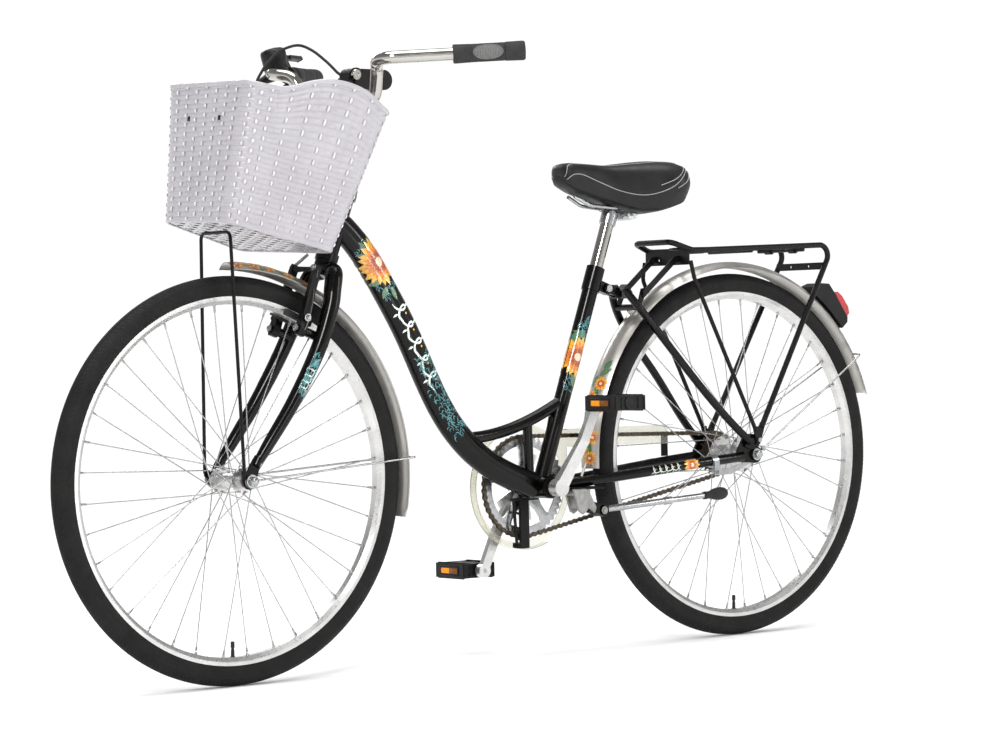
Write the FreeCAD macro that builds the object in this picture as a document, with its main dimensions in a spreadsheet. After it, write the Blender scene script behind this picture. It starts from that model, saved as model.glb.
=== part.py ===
import FreeCAD, Part
import Sketcher
import math
import os
from FreeCAD import Placement, Rotation, Vector

# A step-through city bicycle with a front basket, a rear rack and a side stand.
# Millimetres. +X points back, +Y to the rider's right, +Z up. The origin is on the ground,
# half way along the bicycle. The left side (-Y) carries the side stand.

os.makedirs("parts", exist_ok=True)
doc = FreeCAD.newDocument("city_bicycle")
sizes = doc.addObject("Spreadsheet::Sheet", "sizes")

DIMENSIONS = [
    # wheels
    ("wheel_radius", 350.0),
    ("tyre_half_width", 19.0),
    ("tyre_wall", 3.2),
    ("tyre_bead_radius", 313.0),
    ("rim_outer_radius", 320.0),
    ("rim_bed_radius", 311.0),
    ("rim_inner_radius", 301.0),
    ("rim_half_width", 12.5),
    ("rim_wall", 1.5),
    ("spoke_count", 36.0),
    ("spoke_radius", 1.0),
    ("front_flange_radius", 22.0),
    ("front_flange_at", 33.0),
    ("front_hub_radius", 13.0),
    ("front_hub_half_length", 43.5),
    ("rear_flange_radius", 34.0),
    ("rear_flange_at", 27.0),
    ("rear_hub_radius", 20.0),
    ("rear_hub_half_length", 50.0),
    ("front_axle_radius", 4.5),
    ("rear_axle_radius", 5.0),
    ("running_gap", 0.05),
    # places along the bicycle, from the front axle
    ("front_axle_to_middle", 594.0),
    ("wheelbase", 1160.0),
    ("crank_behind_front_axle", 675.7),
    ("crank_height", 308.0),
    # steering
    ("steering_angle", 69.0),
    ("lower_headset_back", 208.0),
    ("lower_headset_height", 730.0),
    ("head_tube_radius", 17.5),
    ("head_tube_bore", 16.0),
    ("headset_radius", 20.5),
    ("steerer_radius", 12.7),
    ("steerer_bore", 11.1),
    ("quill_radius", 11.0),
    ("bar_radius", 11.1),
    ("grip_radius", 16.5),
    ("grip_length", 124.0),
    # frame
    ("tube_wall", 1.8),
    ("seat_tube_radius", 15.0),
    ("seat_tube_bore", 12.85),
    ("seatpost_radius", 12.7),
    ("upper_tube_radius", 11.0),
    ("strut_radius", 8.0),
    ("seat_stay_radius", 7.5),
    ("chain_stay_radius", 9.5),
    ("shell_radius", 20.5),
    ("shell_half_length", 34.0),
    ("dropout_inner", 60.0),
    ("dropout_thickness", 5.0),
    ("dropout_radius", 17.0),
    ("fork_dropout_inner", 52.0),
    # drive
    ("chain_pitch", 12.7),
    ("chainring_teeth", 46.0),
    ("sprocket_teeth", 20.0),
    ("chain_line", 47.0),
    ("roller_radius", 3.9),
    ("tooth_half_thickness", 1.3),
    ("spindle_radius", 8.5),
    ("crank_length", 170.0),
    ("crank_angle", 64.5),
    ("pedal_spindle_radius", 4.5),
    ("pedal_half_length", 37.0),
    ("pedal_half_height", 13.5),
    ("guard_radius", 118.0),
    ("guard_inner_radius", 104.0),
    # mudguards, rack and stays
    ("mudguard_radius", 373.0),
    ("mudguard_sheet", 1.0),
    ("front_mudguard_half_width", 22.0),
    ("rear_mudguard_half_width", 26.0),
    ("stay_wire_radius", 1.8),
    ("rack_tube_radius", 5.5),
    ("rack_strut_radius", 4.0),
    ("rack_height", 748.0),
    ("rack_hole_spacing", 50.0),
    ("rack_hole_radius", 2.75),
    ("clamp_wire_radius", 2.5),
    # side stand
    ("stand_leg_radius", 8.0),
    ("stand_length", 262.0),
    # basket
    ("basket_tilt", 15.0),
    ("basket_height", 240.0),
    ("basket_wall", 3.0),
    ("basket_rod_radius", 3.0),
    # cable
    ("cable_radius", 2.5),
]
for line, (name, value) in enumerate(DIMENSIONS, start=1):
    sizes.set(f"A{line}", name)
    sizes.set(f"B{line}", str(value))
    sizes.setAlias(f"B{line}", name)
doc.recompute()


def size(name):
    return float(sizes.get(name))


X_AXIS, Y_AXIS, Z_AXIS = Vector(1, 0, 0), Vector(0, 1, 0), Vector(0, 0, 1)
LEFT, RIGHT = -1, 1
SIDES = (LEFT, RIGHT)


def at(back, right, up):
    """A point from the ground under the front axle: back, to the right, and up."""
    return Vector(back - size("front_axle_to_middle"), right, up)


def turned(length, degrees):
    """A vector in the bicycle's middle plane, at an angle above straight back."""
    return Vector(length * math.cos(math.radians(degrees)), 0, length * math.sin(math.radians(degrees)))


front_axle = at(0, 0, size("wheel_radius"))
rear_axle = at(size("wheelbase"), 0, size("wheel_radius"))
crank_axis = at(size("crank_behind_front_axle"), 0, size("crank_height"))
headset = at(size("lower_headset_back"), 0, size("lower_headset_height"))
steering_up = turned(1, size("steering_angle"))
steering_forward = turned(1, size("steering_angle") + 90)


def on_steering(up, forward=0, right=0):
    """A point from the lower headset: up the steering axis, forward of it, and to the right."""
    return headset + steering_up * up + steering_forward * forward + Y_AXIS * right


# Helpers that add objects to the document

NODES = []


def node(name, thing):
    """Names a finished sub-part: its label is its file's name."""
    thing.Label = name
    NODES.append(thing)
    return thing


def bind(thing, **cells):
    for key, formula in cells.items():
        thing.setExpression(key.replace("__", "."), formula)
    return thing


def facing(direction):
    return Rotation(Z_AXIS, direction)


def rod(name, start, end, radius):
    """A round bar from one point to another; its radius is a formula of the sheet."""
    bar = doc.addObject("Part::Cylinder", name)
    bind(bar, Radius=radius)
    bar.Height = (end - start).Length
    bar.Placement = Placement(start, facing(end - start))
    return bar


def axle_bar(name, centre, low, high, radius):
    """A round bar along Y, from low to high."""
    return rod(name, centre + Y_AXIS * low, centre + Y_AXIS * high, radius)


def span(name, centre, first, second, radius):
    """A bar along Y between two distances given in either order."""
    return axle_bar(name, centre, min(first, second), max(first, second), radius)


def block(name, centre, length, width, height, rotation=None):
    """A box about its centre: length along its own X, width along Y, height along Z."""
    box = doc.addObject("Part::Box", name)
    box.Length, box.Width, box.Height = length, width, height
    rotation = rotation or Rotation()
    corner = Vector(-length / 2, -width / 2, -height / 2)
    box.Placement = Placement(centre + rotation.multVec(corner), rotation)
    return box


def shaped(name, shape):
    """A sub-part or tool whose shape comes from Part's own functions."""
    feature = doc.addObject("Part::Feature", name)
    feature.Shape = shape
    return feature


def fuse(name, things):
    joined = doc.addObject("Part::MultiFuse", name)
    joined.Shapes = things
    joined.Refine = True
    return joined


def cut(name, base, tools):
    tool = tools[0] if len(tools) == 1 else fuse(name + "_tools", tools)
    result = doc.addObject("Part::Cut", name)
    result.Base, result.Tool = base, tool
    return result


def group(name, things):
    """Separate solids that share one sub-part, such as fasteners."""
    together = doc.addObject("Part::Compound", name)
    together.Links = things
    return together


def rounded_route(points, bend):
    """Straight runs through the points, joined by tangent arcs of one radius or one radius each."""
    bends = bend if isinstance(bend, list) else [bend] * (len(points) - 2)
    edges, start = [], points[0]
    for before, corner, after, radius in zip(points, points[1:], points[2:], bends):
        back = (before - corner).normalize()
        onward = (after - corner).normalize()
        half_turn = (math.pi - back.getAngle(onward)) / 2
        reach = radius * math.tan(half_turn)
        middle = corner + (back + onward).normalize() * (radius / math.cos(half_turn) - radius)
        edges.append(Part.LineSegment(start, corner + back * reach).toShape())
        edges.append(Part.Arc(corner + back * reach, middle, corner + onward * reach).toShape())
        start = corner + onward * reach
    edges.append(Part.LineSegment(start, points[-1]).toShape())
    return Part.Wire(edges)


def smooth_route(points):
    curve = Part.BSplineCurve()
    curve.interpolate(points)
    return Part.Wire([curve.toShape()])


def tube(name, route, radius):
    """A round section swept along a route."""
    path = shaped(name + "_route", route)
    first = route.Edges[0]
    ring = doc.addObject("Part::Circle", name + "_section")
    bind(ring, Radius=radius)
    ring.Placement = Placement(first.valueAt(first.FirstParameter),
                               facing(first.tangentAt(first.FirstParameter)))
    sweep = doc.addObject("Part::Sweep", name)
    sweep.Sections = [ring]
    sweep.Spine = (path, [f"Edge{number}" for number in range(1, len(route.Edges) + 1)])
    sweep.Solid = True
    return sweep


def mirrored(name, thing):
    """The same piece on the bicycle's other side."""
    twin = doc.addObject("Part::Mirroring", name)
    twin.Source = thing
    twin.Normal = Y_AXIS
    return twin


def outline_face(points):
    return Part.Face(Part.makePolygon(points + [points[0]]))


def plate(name, points, thickness):
    """A flat plate cut to an outline in a plane of constant Y, thickened towards +Y."""
    return shaped(name, outline_face(points).extrude(Y_AXIS * thickness))


# Bodies that are made from sketches

def plane_of(body, role):
    return next(face for face in body.Origin.OriginFeatures if face.Role == role)


def polygon_sketch(body, name, corners):
    """A closed polygon on the body's XY plane; each corner is two formulas of the sheet, both positive."""
    sketch = body.newObject("Sketcher::SketchObject", name)
    sketch.AttachmentSupport = [(plane_of(body, "XY_Plane"), "")]
    sketch.MapMode = "FlatFace"
    spots = [Vector(float(doc_value(along)), float(doc_value(across)), 0) for along, across in corners]
    count = len(corners)
    for i in range(count):
        sketch.addGeometry(Part.LineSegment(spots[i], spots[(i + 1) % count]), False)
    for i in range(count):
        sketch.addConstraint(Sketcher.Constraint("Coincident", i, 2, (i + 1) % count, 1))
    for i, formulas in enumerate(corners):
        for kind, formula, value in zip(("DistanceX", "DistanceY"), formulas, spots[i]):
            place = sketch.addConstraint(Sketcher.Constraint(kind, -1, 1, i, 1, value))
            sketch.setExpression(f"Constraints[{place}]", formula)
    return sketch


def doc_value(formula):
    """What a formula of the sheet is worth now, to start a sketch near its final shape."""
    return sizes.evalExpression(formula)


def turned_body(name, corners, centre, half_length):
    """A body revolved about the Y axis; its corners are radius and distance from its left end."""
    body = doc.addObject("PartDesign::Body", name)
    sketch = polygon_sketch(body, name + "_section", corners)
    turn = body.newObject("PartDesign::Revolution", name + "_turn")
    turn.Profile = sketch
    turn.ReferenceAxis = (sketch, ["V_Axis"])
    turn.Angle = 360
    body.Placement = Placement(centre - Y_AXIS * half_length, Rotation())
    return body


def both_ends(half, middle):
    """Mirrors the corners of a half section, radius and distance from the middle, about the middle."""
    low = [(radius, f"{middle} - ({reach})") for radius, reach in half]
    high = [(radius, f"{middle} + ({reach})") for radius, reach in reversed(half)]
    return low + high


def toothed_body(name, teeth, root, tip, bore, thickness, centre, phase):
    """A disc with one tooth drawn and the rest patterned about its axis, which lies along Y."""
    body = doc.addObject("PartDesign::Body", name)
    disc = body.newObject("Sketcher::SketchObject", name + "_disc")
    disc.AttachmentSupport = [(plane_of(body, "XY_Plane"), "")]
    disc.MapMode = "FlatFace"
    for radius in (root, bore):
        ring = disc.addGeometry(Part.Circle(Vector(0, 0, 0), Z_AXIS, float(doc_value(radius))), False)
        disc.addConstraint(Sketcher.Constraint("Coincident", ring, 3, -1, 1))
        width = disc.addConstraint(Sketcher.Constraint("Radius", ring, float(doc_value(radius))))
        disc.setExpression(f"Constraints[{width}]", radius)
    web = body.newObject("PartDesign::Pad", name + "_web")
    web.Profile = disc
    bind(web, Length=thickness)
    tooth = body.newObject("Sketcher::SketchObject", name + "_tooth")
    tooth.AttachmentSupport = [(plane_of(body, "XY_Plane"), "")]
    tooth.MapMode = "FlatFace"
    low, high = float(doc_value(root)) - 1, float(doc_value(tip))
    corners = [Vector(low, -3.4, 0), Vector(high, -0.9, 0), Vector(high, 0.9, 0), Vector(low, 3.4, 0)]
    for here, there in zip(corners, corners[1:] + corners[:1]):
        tooth.addGeometry(Part.LineSegment(here, there), False)
    first = body.newObject("PartDesign::Pad", name + "_first_tooth")
    first.Profile = tooth
    bind(first, Length=thickness)
    doc.recompute()
    around = body.newObject("PartDesign::PolarPattern", name + "_teeth")
    around.Originals = [first]
    around.Axis = (disc, ["N_Axis"])
    around.Angle = 360
    bind(around, Occurrences=teeth)
    body.Tip = around
    turn = Rotation(Y_AXIS, phase)
    body.Placement = Placement(centre, turn * Rotation(X_AXIS, -90))
    return body


# Wheels

def tyre(name, centre):
    """An open carcass whose two beads sit inside the rim."""
    crown = size("wheel_radius") - size("tyre_half_width")
    outer, wall = size("tyre_half_width"), size("tyre_wall")
    bead = size("tyre_bead_radius")
    lip = size("rim_outer_radius") + 1.5
    bead_outside = size("rim_half_width") - size("rim_wall") - 0.2
    bead_inside = bead_outside - wall
    inner = outer - wall

    def spot(radius, across):
        return centre + X_AXIS * radius + Y_AXIS * across

    shoulder = math.sqrt(outer ** 2 - (crown - lip - 1) ** 2)
    hollow = math.sqrt(inner ** 2 - (crown - lip - 1) ** 2)
    profile = [
        Part.Arc(spot(lip + 1, -shoulder), spot(crown + outer, 0), spot(lip + 1, shoulder)).toShape(),
        Part.LineSegment(spot(lip + 1, shoulder), spot(lip, bead_outside)).toShape(),
        Part.LineSegment(spot(lip, bead_outside), spot(bead, bead_outside)).toShape(),
        Part.LineSegment(spot(bead, bead_outside), spot(bead, bead_inside)).toShape(),
        Part.LineSegment(spot(bead, bead_inside), spot(lip, bead_inside)).toShape(),
        Part.LineSegment(spot(lip, bead_inside), spot(lip + 1, hollow)).toShape(),
        Part.Arc(spot(lip + 1, hollow), spot(crown + inner, 0), spot(lip + 1, -hollow)).toShape(),
        Part.LineSegment(spot(lip + 1, -hollow), spot(lip, -bead_inside)).toShape(),
        Part.LineSegment(spot(lip, -bead_inside), spot(bead, -bead_inside)).toShape(),
        Part.LineSegment(spot(bead, -bead_inside), spot(bead, -bead_outside)).toShape(),
        Part.LineSegment(spot(bead, -bead_outside), spot(lip, -bead_outside)).toShape(),
        Part.LineSegment(spot(lip, -bead_outside), spot(lip + 1, -shoulder)).toShape(),
    ]
    section = Part.Face(Part.Wire(profile))
    return node(name, shaped(name, section.revolve(centre, Y_AXIS, 360)))


def rim(name, centre):
    half = [
        ("sizes.rim_outer_radius", "sizes.rim_half_width"),
        ("sizes.rim_bed_radius - 3", "sizes.rim_half_width"),
        ("sizes.rim_inner_radius", "sizes.rim_half_width * 0.55"),
    ]
    channel = [
        ("sizes.rim_outer_radius", "sizes.rim_half_width - sizes.rim_wall"),
        ("sizes.rim_bed_radius", "sizes.rim_half_width - sizes.rim_wall"),
    ]
    outside = both_ends(half, "sizes.rim_half_width")
    inside = both_ends(channel, "sizes.rim_half_width")
    return node(name, turned_body(name, outside + inside[::-1], centre, size("rim_half_width")))


def hub(name, centre, kind, ends):
    """A barrel with two flanges, bored for its axle with a running gap."""
    middle = f"sizes.{kind}_hub_half_length"
    flange, reach = f"sizes.{kind}_flange_radius", f"sizes.{kind}_flange_at"
    bore = f"sizes.{kind}_axle_radius + sizes.running_gap"
    half = [
        (bore, middle),
        (ends, middle),
        (ends, f"{reach} + 1.5"),
        (flange, f"{reach} + 1.5"),
        (flange, f"{reach} - 1.5"),
        (f"sizes.{kind}_hub_radius", f"{reach} - 1.5"),
    ]
    corners = both_ends(half, middle)
    return node(name, turned_body(name, corners, centre, size(f"{kind}_hub_half_length")))


def spokes(name, centre, kind):
    """Thirty-six spokes laced over three crossings, half of them leaning each way."""
    count = int(size("spoke_count"))
    flange_at = size(f"{kind}_flange_at")
    hole_circle = size(f"{kind}_flange_radius") - 3
    wires = []
    for i in range(count):
        side = SIDES[i % 2]
        lean = SIDES[(i // 2) % 2]
        rim_angle = 360.0 * (i + 0.5) / count
        hub_angle = rim_angle + lean * 62
        across = side * (flange_at + lean * (1.5 + size("spoke_radius") + 0.9))
        start = centre + turned(hole_circle, hub_angle) + Y_AXIS * across
        end = centre + turned(size("rim_inner_radius") - 0.6, rim_angle) + Y_AXIS * (side * 2.5)
        wires.append(rod(f"{name}_{i + 1}", start, end, "sizes.spoke_radius"))
    return node(name, group(name, wires))


for wheel, hub_at, end_radius in (("front", front_axle, "sizes.front_hub_radius - 2"),
                                  ("rear", rear_axle, "17")):
    tyre(f"{wheel}_tyre", hub_at)
    rim(f"{wheel}_rim", hub_at)
    spokes(f"{wheel}_spokes", hub_at, wheel)
    hub(f"{wheel}_hub", hub_at, wheel, end_radius)


# Steering parts of the frame, and the frame itself

head_tube_low, head_tube_high = 8.0, 112.0
seat_tube_angle = 70.0
seat_tube_length = 430.0
seat_up = turned(1, seat_tube_angle)


def on_seat_tube(up, back=0, right=0):
    """A point from the crank axis: up the seat tube, behind it, and to the right."""
    return crank_axis + seat_up * up + turned(1, seat_tube_angle - 90) * back + Y_AXIS * right


def down_tube(name, start_up, wall):
    """The curved down tube: an oval section, taller than it is wide, that follows a gooseneck curve."""
    route = smooth_route([
        on_steering(start_up),
        at(283, 0, 742),
        at(332, 0, 672),
        at(376, 0, 600),
        at(417, 0, 520),
        at(466, 0, 438),
        at(527, 0, 376),
        at(600, 0, 334),
        crank_axis + turned(14, 165),
    ])
    curve = route.Edges[0]
    start, direction = curve.valueAt(curve.FirstParameter), curve.tangentAt(curve.FirstParameter)
    oval = Part.Ellipse(Vector(0, 0, 0), 24.5 - wall, 19.5 - wall).toShape()
    section = Part.Wire([oval])
    section.Placement = Placement(start, Rotation(direction.cross(Y_AXIS), Y_AXIS, direction, "ZXY"))
    return shaped(name, route.makePipeShell([section], True, False))


def chain_stay_route(side):
    """From the shell, past the tyre, to the dropout; it bows out to clear the wheel."""
    return smooth_route([
        crank_axis + Vector(12, side * 20, 1),
        at(770, side * 31.5, 316),
        at(850, side * 41, 323),
        at(960, side * 53, 333),
        at(1128, side * 62.5, 347),
    ])


def chain_stay(name, side, radius):
    return tube(f"{name}_{side}", chain_stay_route(side), radius)


def dropout(side):
    """A flat plate that holds the rear axle and takes both stays."""
    inner = min(side * size("dropout_inner"), side * (size("dropout_inner") + size("dropout_thickness")))
    low, high = inner, inner + size("dropout_thickness")
    disc = axle_bar(f"dropout_disc_{side}", rear_axle, low, high, "sizes.dropout_radius")
    arm = plate(f"dropout_arm_{side}", [
        rear_axle + Vector(-46, low, -13),
        rear_axle + Vector(-4, low, -16),
        rear_axle + Vector(6, low, 15),
        rear_axle + Vector(-10, low, 40),
        rear_axle + Vector(-26, low, 40),
        rear_axle + Vector(-46, low, 8),
    ], size("dropout_thickness"))
    return [disc, arm]


def make_frame():
    solids = [
        rod("head_tube", on_steering(head_tube_low), on_steering(head_tube_high), "sizes.head_tube_radius"),
        down_tube("down_tube", 66, 0),
        tube("upper_tube", smooth_route([
            at(500, 0, 404), at(548, 0, 406), at(600, 0, 415), at(656, 0, 432), on_seat_tube(168),
        ]), "sizes.upper_tube_radius"),
        rod("front_strut", at(650, 0, 425), at(652, 0, 336), "sizes.strut_radius + 1"),
        rod("rear_strut", at(708, 0, 436), at(682, 0, 330), "sizes.strut_radius - 2"),
        rod("seat_tube", crank_axis, on_seat_tube(seat_tube_length), "sizes.seat_tube_radius"),
        rod("seat_lug", on_seat_tube(384), on_seat_tube(seat_tube_length), "sizes.seat_tube_radius + 2.5"),
        axle_bar("shell", crank_axis, -size("shell_half_length"), size("shell_half_length"),
                 "sizes.shell_radius"),
        block("stay_lug", on_seat_tube(400, 24), 34, 14, 20, Rotation(Y_AXIS, 20)),
    ]
    for side in SIDES:
        solids.append(chain_stay("chain_stay", side, "sizes.chain_stay_radius"))
        solids += dropout(side)
    solids.append(axle_bar("chain_stay_bridge", at(770, 0, 316), -27, 27, "6"))
    holes = [
        rod("steerer_bore", on_steering(head_tube_low - 1), on_steering(head_tube_high + 1),
            "sizes.head_tube_bore"),
        rod("seatpost_bore", crank_axis, on_seat_tube(seat_tube_length + 1), "sizes.seat_tube_bore"),
        down_tube("down_tube_inside", 66, size("tube_wall")),
        axle_bar("shell_bore", crank_axis, -size("shell_half_length") - 1, size("shell_half_length") + 1,
                 "17"),
        axle_bar("axle_holes", rear_axle, -70, 70, "sizes.rear_axle_radius + 0.1"),
        axle_bar("stay_bolt_hole", on_seat_tube(400, 32), -10, 10, "3.1"),
    ]
    holes += [chain_stay("chain_stay_inside", side,
                         "sizes.chain_stay_radius - sizes.tube_wall") for side in SIDES]
    return node("frame", cut("frame", fuse("frame_tubes", solids), holes))


foot_bolt_axis = at(1160, 0, 378)


def seat_stay_route(side):
    return smooth_route([
        at(878, side * 20, 668),
        at(900, side * 35, 634),
        at(1008, side * 51, 510),
        at(1090, side * 66, 420),
        at(1136, side * 74.5, 377),
    ])


def make_seat_stays():
    """Two stays, flattened and bolted to the lug above and outside the dropouts below."""
    solids = []
    for side in SIDES:
        solids.append(tube(f"seat_stay_{side}", seat_stay_route(side), "sizes.seat_stay_radius"))
        lug = on_seat_tube(400, 32)
        foot = min(side * 7.0, side * 11.0)
        solids.append(plate(f"stay_ear_{side}", [
            lug + Vector(-8, foot, 2),
            lug + Vector(-2, foot, 9),
            lug + Vector(8, foot, 7),
            at(888, foot, 668),
            at(874, foot, 656),
            lug + Vector(-5, foot, -8),
        ], 4))
        solids.append(block(f"stay_shoulder_{side}", at(879, side * 14.5, 667), 20, 19, 18,
                            Rotation(Y_AXIS, 50)))
        low = min(side * 65.0, side * 69.0)
        solids.append(plate(f"stay_foot_{side}", [
            at(1130, low, 366), at(1138, low, 390), at(1165, low, 389), at(1171, low, 376), at(1163, low,
                                                                                               361),
            at(1146, low, 360),
        ], 4))
        solids.append(span(f"stay_heel_{side}", at(1141, 0, 376), side * 65, side * 77, "7"))
        low = min(side * 28.0, side * 31.0)
        solids.append(plate(f"rack_tab_{side}", [
            at(893, low, 634), at(899, low, 645), at(908, low, 672), at(921, low, 674), at(917, low, 660),
            at(903, low, 632),
        ], 3))
    solids.append(axle_bar("stay_bridge", at(898, 0, 637), -34, 34, "6"))
    holes = [
        axle_bar("stay_ear_holes", on_seat_tube(400, 32), -15, 15, "3.1"),
        axle_bar("stay_foot_holes", foot_bolt_axis, -70, 70, "2.6"),
    ]
    return node("seat_stays", cut("seat_stays", fuse("stay_solids", solids), holes))


def make_headset():
    """Two cups pressed against the head tube, and the locknut stack that turns with the steerer."""
    cups = []
    for name, low, high in (("lower_cup", -6.0, head_tube_low), ("upper_cup", head_tube_high, 122.0)):
        ring = rod(name + "_ring", on_steering(low), on_steering(high), "sizes.headset_radius")
        bore = rod(name + "_bore", on_steering(low - 1), on_steering(high + 1),
                   "sizes.steerer_radius + sizes.running_gap")
        cups.append(cut(name, ring, [bore]))
    node("headset_cups", group("headset_cups", cups))
    stack = []
    for name, low, high, slimmer in (("upper_race", 122.3, 130.0, 1), ("locknut", 132.0, 141.0, 2)):
        ring = rod(name + "_ring", on_steering(low), on_steering(high), f"sizes.headset_radius - {slimmer}")
        bore = rod(name + "_bore", on_steering(low - 1), on_steering(high + 1),
                   "sizes.steerer_radius + 0.02")
        stack.append(cut(name, ring, [bore]))
    return node("headset_locknut", group("headset_locknut", stack))


def make_frame_bolts():
    """The bolt that closes the seat lug and the bolt that holds both seat stays, with their nuts."""
    stay_bolt = on_seat_tube(400, 32)
    ears = [
        axle_bar("stay_bolt", stay_bolt, -11, 11, "3.0"),
        axle_bar("stay_bolt_head", stay_bolt, -16, -11, "6.5"),
        axle_bar("stay_bolt_nut", stay_bolt, 11, 16, "6.5"),
    ]
    feet = []
    for side in SIDES:
        head = span(f"stay_foot_bolt_head_{side}", foot_bolt_axis, side * 76.4, side * 80, "4.5")
        shank = span(f"stay_foot_bolt_shank_{side}", foot_bolt_axis, side * 65.2, side * 77, "2.5")
        feet.append(fuse(f"stay_foot_bolt_{side}", [head, shank]))
    return node("frame_bolts", group("frame_bolts", [fuse("stay_bolt_set", ears)] + feet))


# Seat

SADDLE_STATIONS = [
    # back, half width, top, skirt
    (733, 12, 884, 868),
    (742, 24, 893, 861),
    (780, 32, 899, 852),
    (835, 42, 901, 832),
    (885, 72, 908, 822),
    (925, 98, 912, 823),
    (955, 104, 907, 830),
    (978, 92, 896, 842),
    (988, 70, 886, 852),
]


def saddle_section(back, half, top, skirt):
    """A flat underside closed by a dome, across the saddle."""
    left, right = at(back, -half * 0.86, skirt), at(back, half * 0.86, skirt)
    shoulder = skirt + (top - skirt) * 0.45
    dome = Part.BSplineCurve()
    dome.interpolate([
        right, at(back, half, shoulder), at(back, half * 0.62, top - (top - skirt) * 0.09),
        at(back, 0, top),
        at(back, -half * 0.62, top - (top - skirt) * 0.09), at(back, -half, shoulder), left,
    ])
    return Part.Wire([Part.LineSegment(left, right).toShape(), dome.toShape()])


def saddle_plan(inset, low, high):
    """The saddle's outline from above, drawn in by an inset, as an upright solid."""
    stations = [row for row in SADDLE_STATIONS if row[1] > 20]
    right_side = [at(back, half - inset, low) for back, half, top, skirt in stations]
    left_side = [at(back, inset - half, low) for back, half, top, skirt in reversed(stations)]
    return outline_face(right_side + left_side).extrude(Z_AXIS * (high - low))


def rail_route(side):
    return rounded_route([
        at(766, side * 9, 844), at(800, side * 14, 828), at(846, side * 22, 824),
        at(922, side * 22, 824), at(954, side * 32, 841),
    ], [40, 60, 60])


def make_saddle():
    """A padded cover over a moulded base, on two rails that a clamp holds to the post."""
    pad = shaped("saddle_pad", Part.makeLoft([saddle_section(*row) for row in SADDLE_STATIONS], True,
                                             False))
    hollow = shaped("saddle_underside", saddle_plan(9, 800, 850))
    node("saddle_cover", cut("saddle_cover", pad, [hollow]))
    base = shaped("base_sheet", saddle_plan(9.6, 845, 849.6))
    lugs = [block("nose_lug", at(768, 0, 843.6), 22, 26, 12), block("tail_lug", at(952, 0, 842.6), 18, 84,
                                                                    14)]
    rails = [tube(f"rail_{side}", rail_route(side), "3.5") for side in SIDES]
    node("saddle_rails", group("saddle_rails", rails))
    sockets = [tube(f"rail_socket_{side}", rail_route(side), "3.55") for side in SIDES]
    node("saddle_base", cut("saddle_base", fuse("base_solids", [base] + lugs), sockets))
    clamp_axis = at(893, 0, 813)
    solids = [
        rod("post_collar", on_seat_tube(516), on_seat_tube(540), "sizes.seatpost_radius + 3"),
        block("clamp_neck", at(876, 0, 812), 34, 18, 16),
        axle_bar("clamp_bolt", clamp_axis, -32, 32, "4"),
        axle_bar("clamp_washers", clamp_axis, -28, 28, "12"),
        block("left_jaw", at(884, -22, 822), 36, 12, 9),
        block("right_jaw", at(884, 22, 822), 36, 12, 9),
    ]
    holes = [rod("post_hole", on_seat_tube(500), on_seat_tube(560), "sizes.seatpost_radius + 0.02")]
    holes += [rod(f"jaw_groove_{side}", at(840, side * 22, 824), at(930, side * 22, 824),
                  "3.52") for side in SIDES]
    node("saddle_clamp", cut("saddle_clamp", fuse("clamp_solids", solids), holes))
    post = rod("seatpost_outside", on_seat_tube(250), on_seat_tube(546), "sizes.seatpost_radius")
    inside = rod("seatpost_inside", on_seat_tube(249), on_seat_tube(536),
                 "sizes.seatpost_radius - sizes.tube_wall")
    node("seatpost", cut("seatpost", post, [inside]))


# Drive

crank_end = turned(size("crank_length"), size("crank_angle"))


def make_bottom_bracket():
    cups = []
    for side in SIDES:
        body = span(f"cup_thread_{side}", crank_axis, side * 20, side * 34, "16.95")
        flange = span(f"cup_flange_{side}", crank_axis, side * 34, side * 37.5, "19")
        bore = span(f"cup_bore_{side}", crank_axis, side * 19, side * 39,
                    "sizes.spindle_radius + sizes.running_gap")
        cups.append(cut(f"cup_{side}", fuse(f"cup_solid_{side}", [body, flange]), [bore]))
    node("bottom_bracket_cups", group("bottom_bracket_cups", cups))
    node("crank_spindle", axle_bar("crank_spindle", crank_axis, -62, 62, "sizes.spindle_radius"))


def crank_arm(name, side, boss_in, boss_out, eye_in, eye_out):
    """An arm that tapers from the spindle's boss to the pedal's eye and leans outwards."""
    end = crank_axis + crank_end * -side
    along = (end - crank_axis).normalize()
    across = along.cross(Y_AXIS).normalize()

    def arm_section(reach, width, near, far):
        corners = [
            crank_axis + along * reach + across * width + Y_AXIS * near,
            crank_axis + along * reach + across * width + Y_AXIS * far,
            crank_axis + along * reach - across * width + Y_AXIS * far,
            crank_axis + along * reach - across * width + Y_AXIS * near,
        ]
        return Part.makePolygon(corners + [corners[0]])

    sections = [
        arm_section(6, 13.0, side * (boss_in + 5), side * boss_out),
        arm_section(size("crank_length") * 0.55, 10.0, side * (eye_in + 1), side * (eye_out - 1)),
        arm_section(size("crank_length") - 6, 9.0, side * (eye_in + 1), side * (eye_out - 1)),
    ]
    arm = shaped(name + "_arm", Part.makeLoft(sections, True, True))
    boss = span(name + "_boss", crank_axis, side * boss_in, side * boss_out, "16")
    eye = span(name + "_eye", end, side * eye_in, side * eye_out, "13")
    seat = span(name + "_seat", crank_axis, side * (boss_in - 1), side * 62.1,
                "sizes.spindle_radius + 0.02")
    thread = span(name + "_thread", end, side * (eye_in - 1), side * (eye_out + 1),
                  "sizes.pedal_spindle_radius + 0.02")
    return [arm, boss, eye], [seat, thread]


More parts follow.
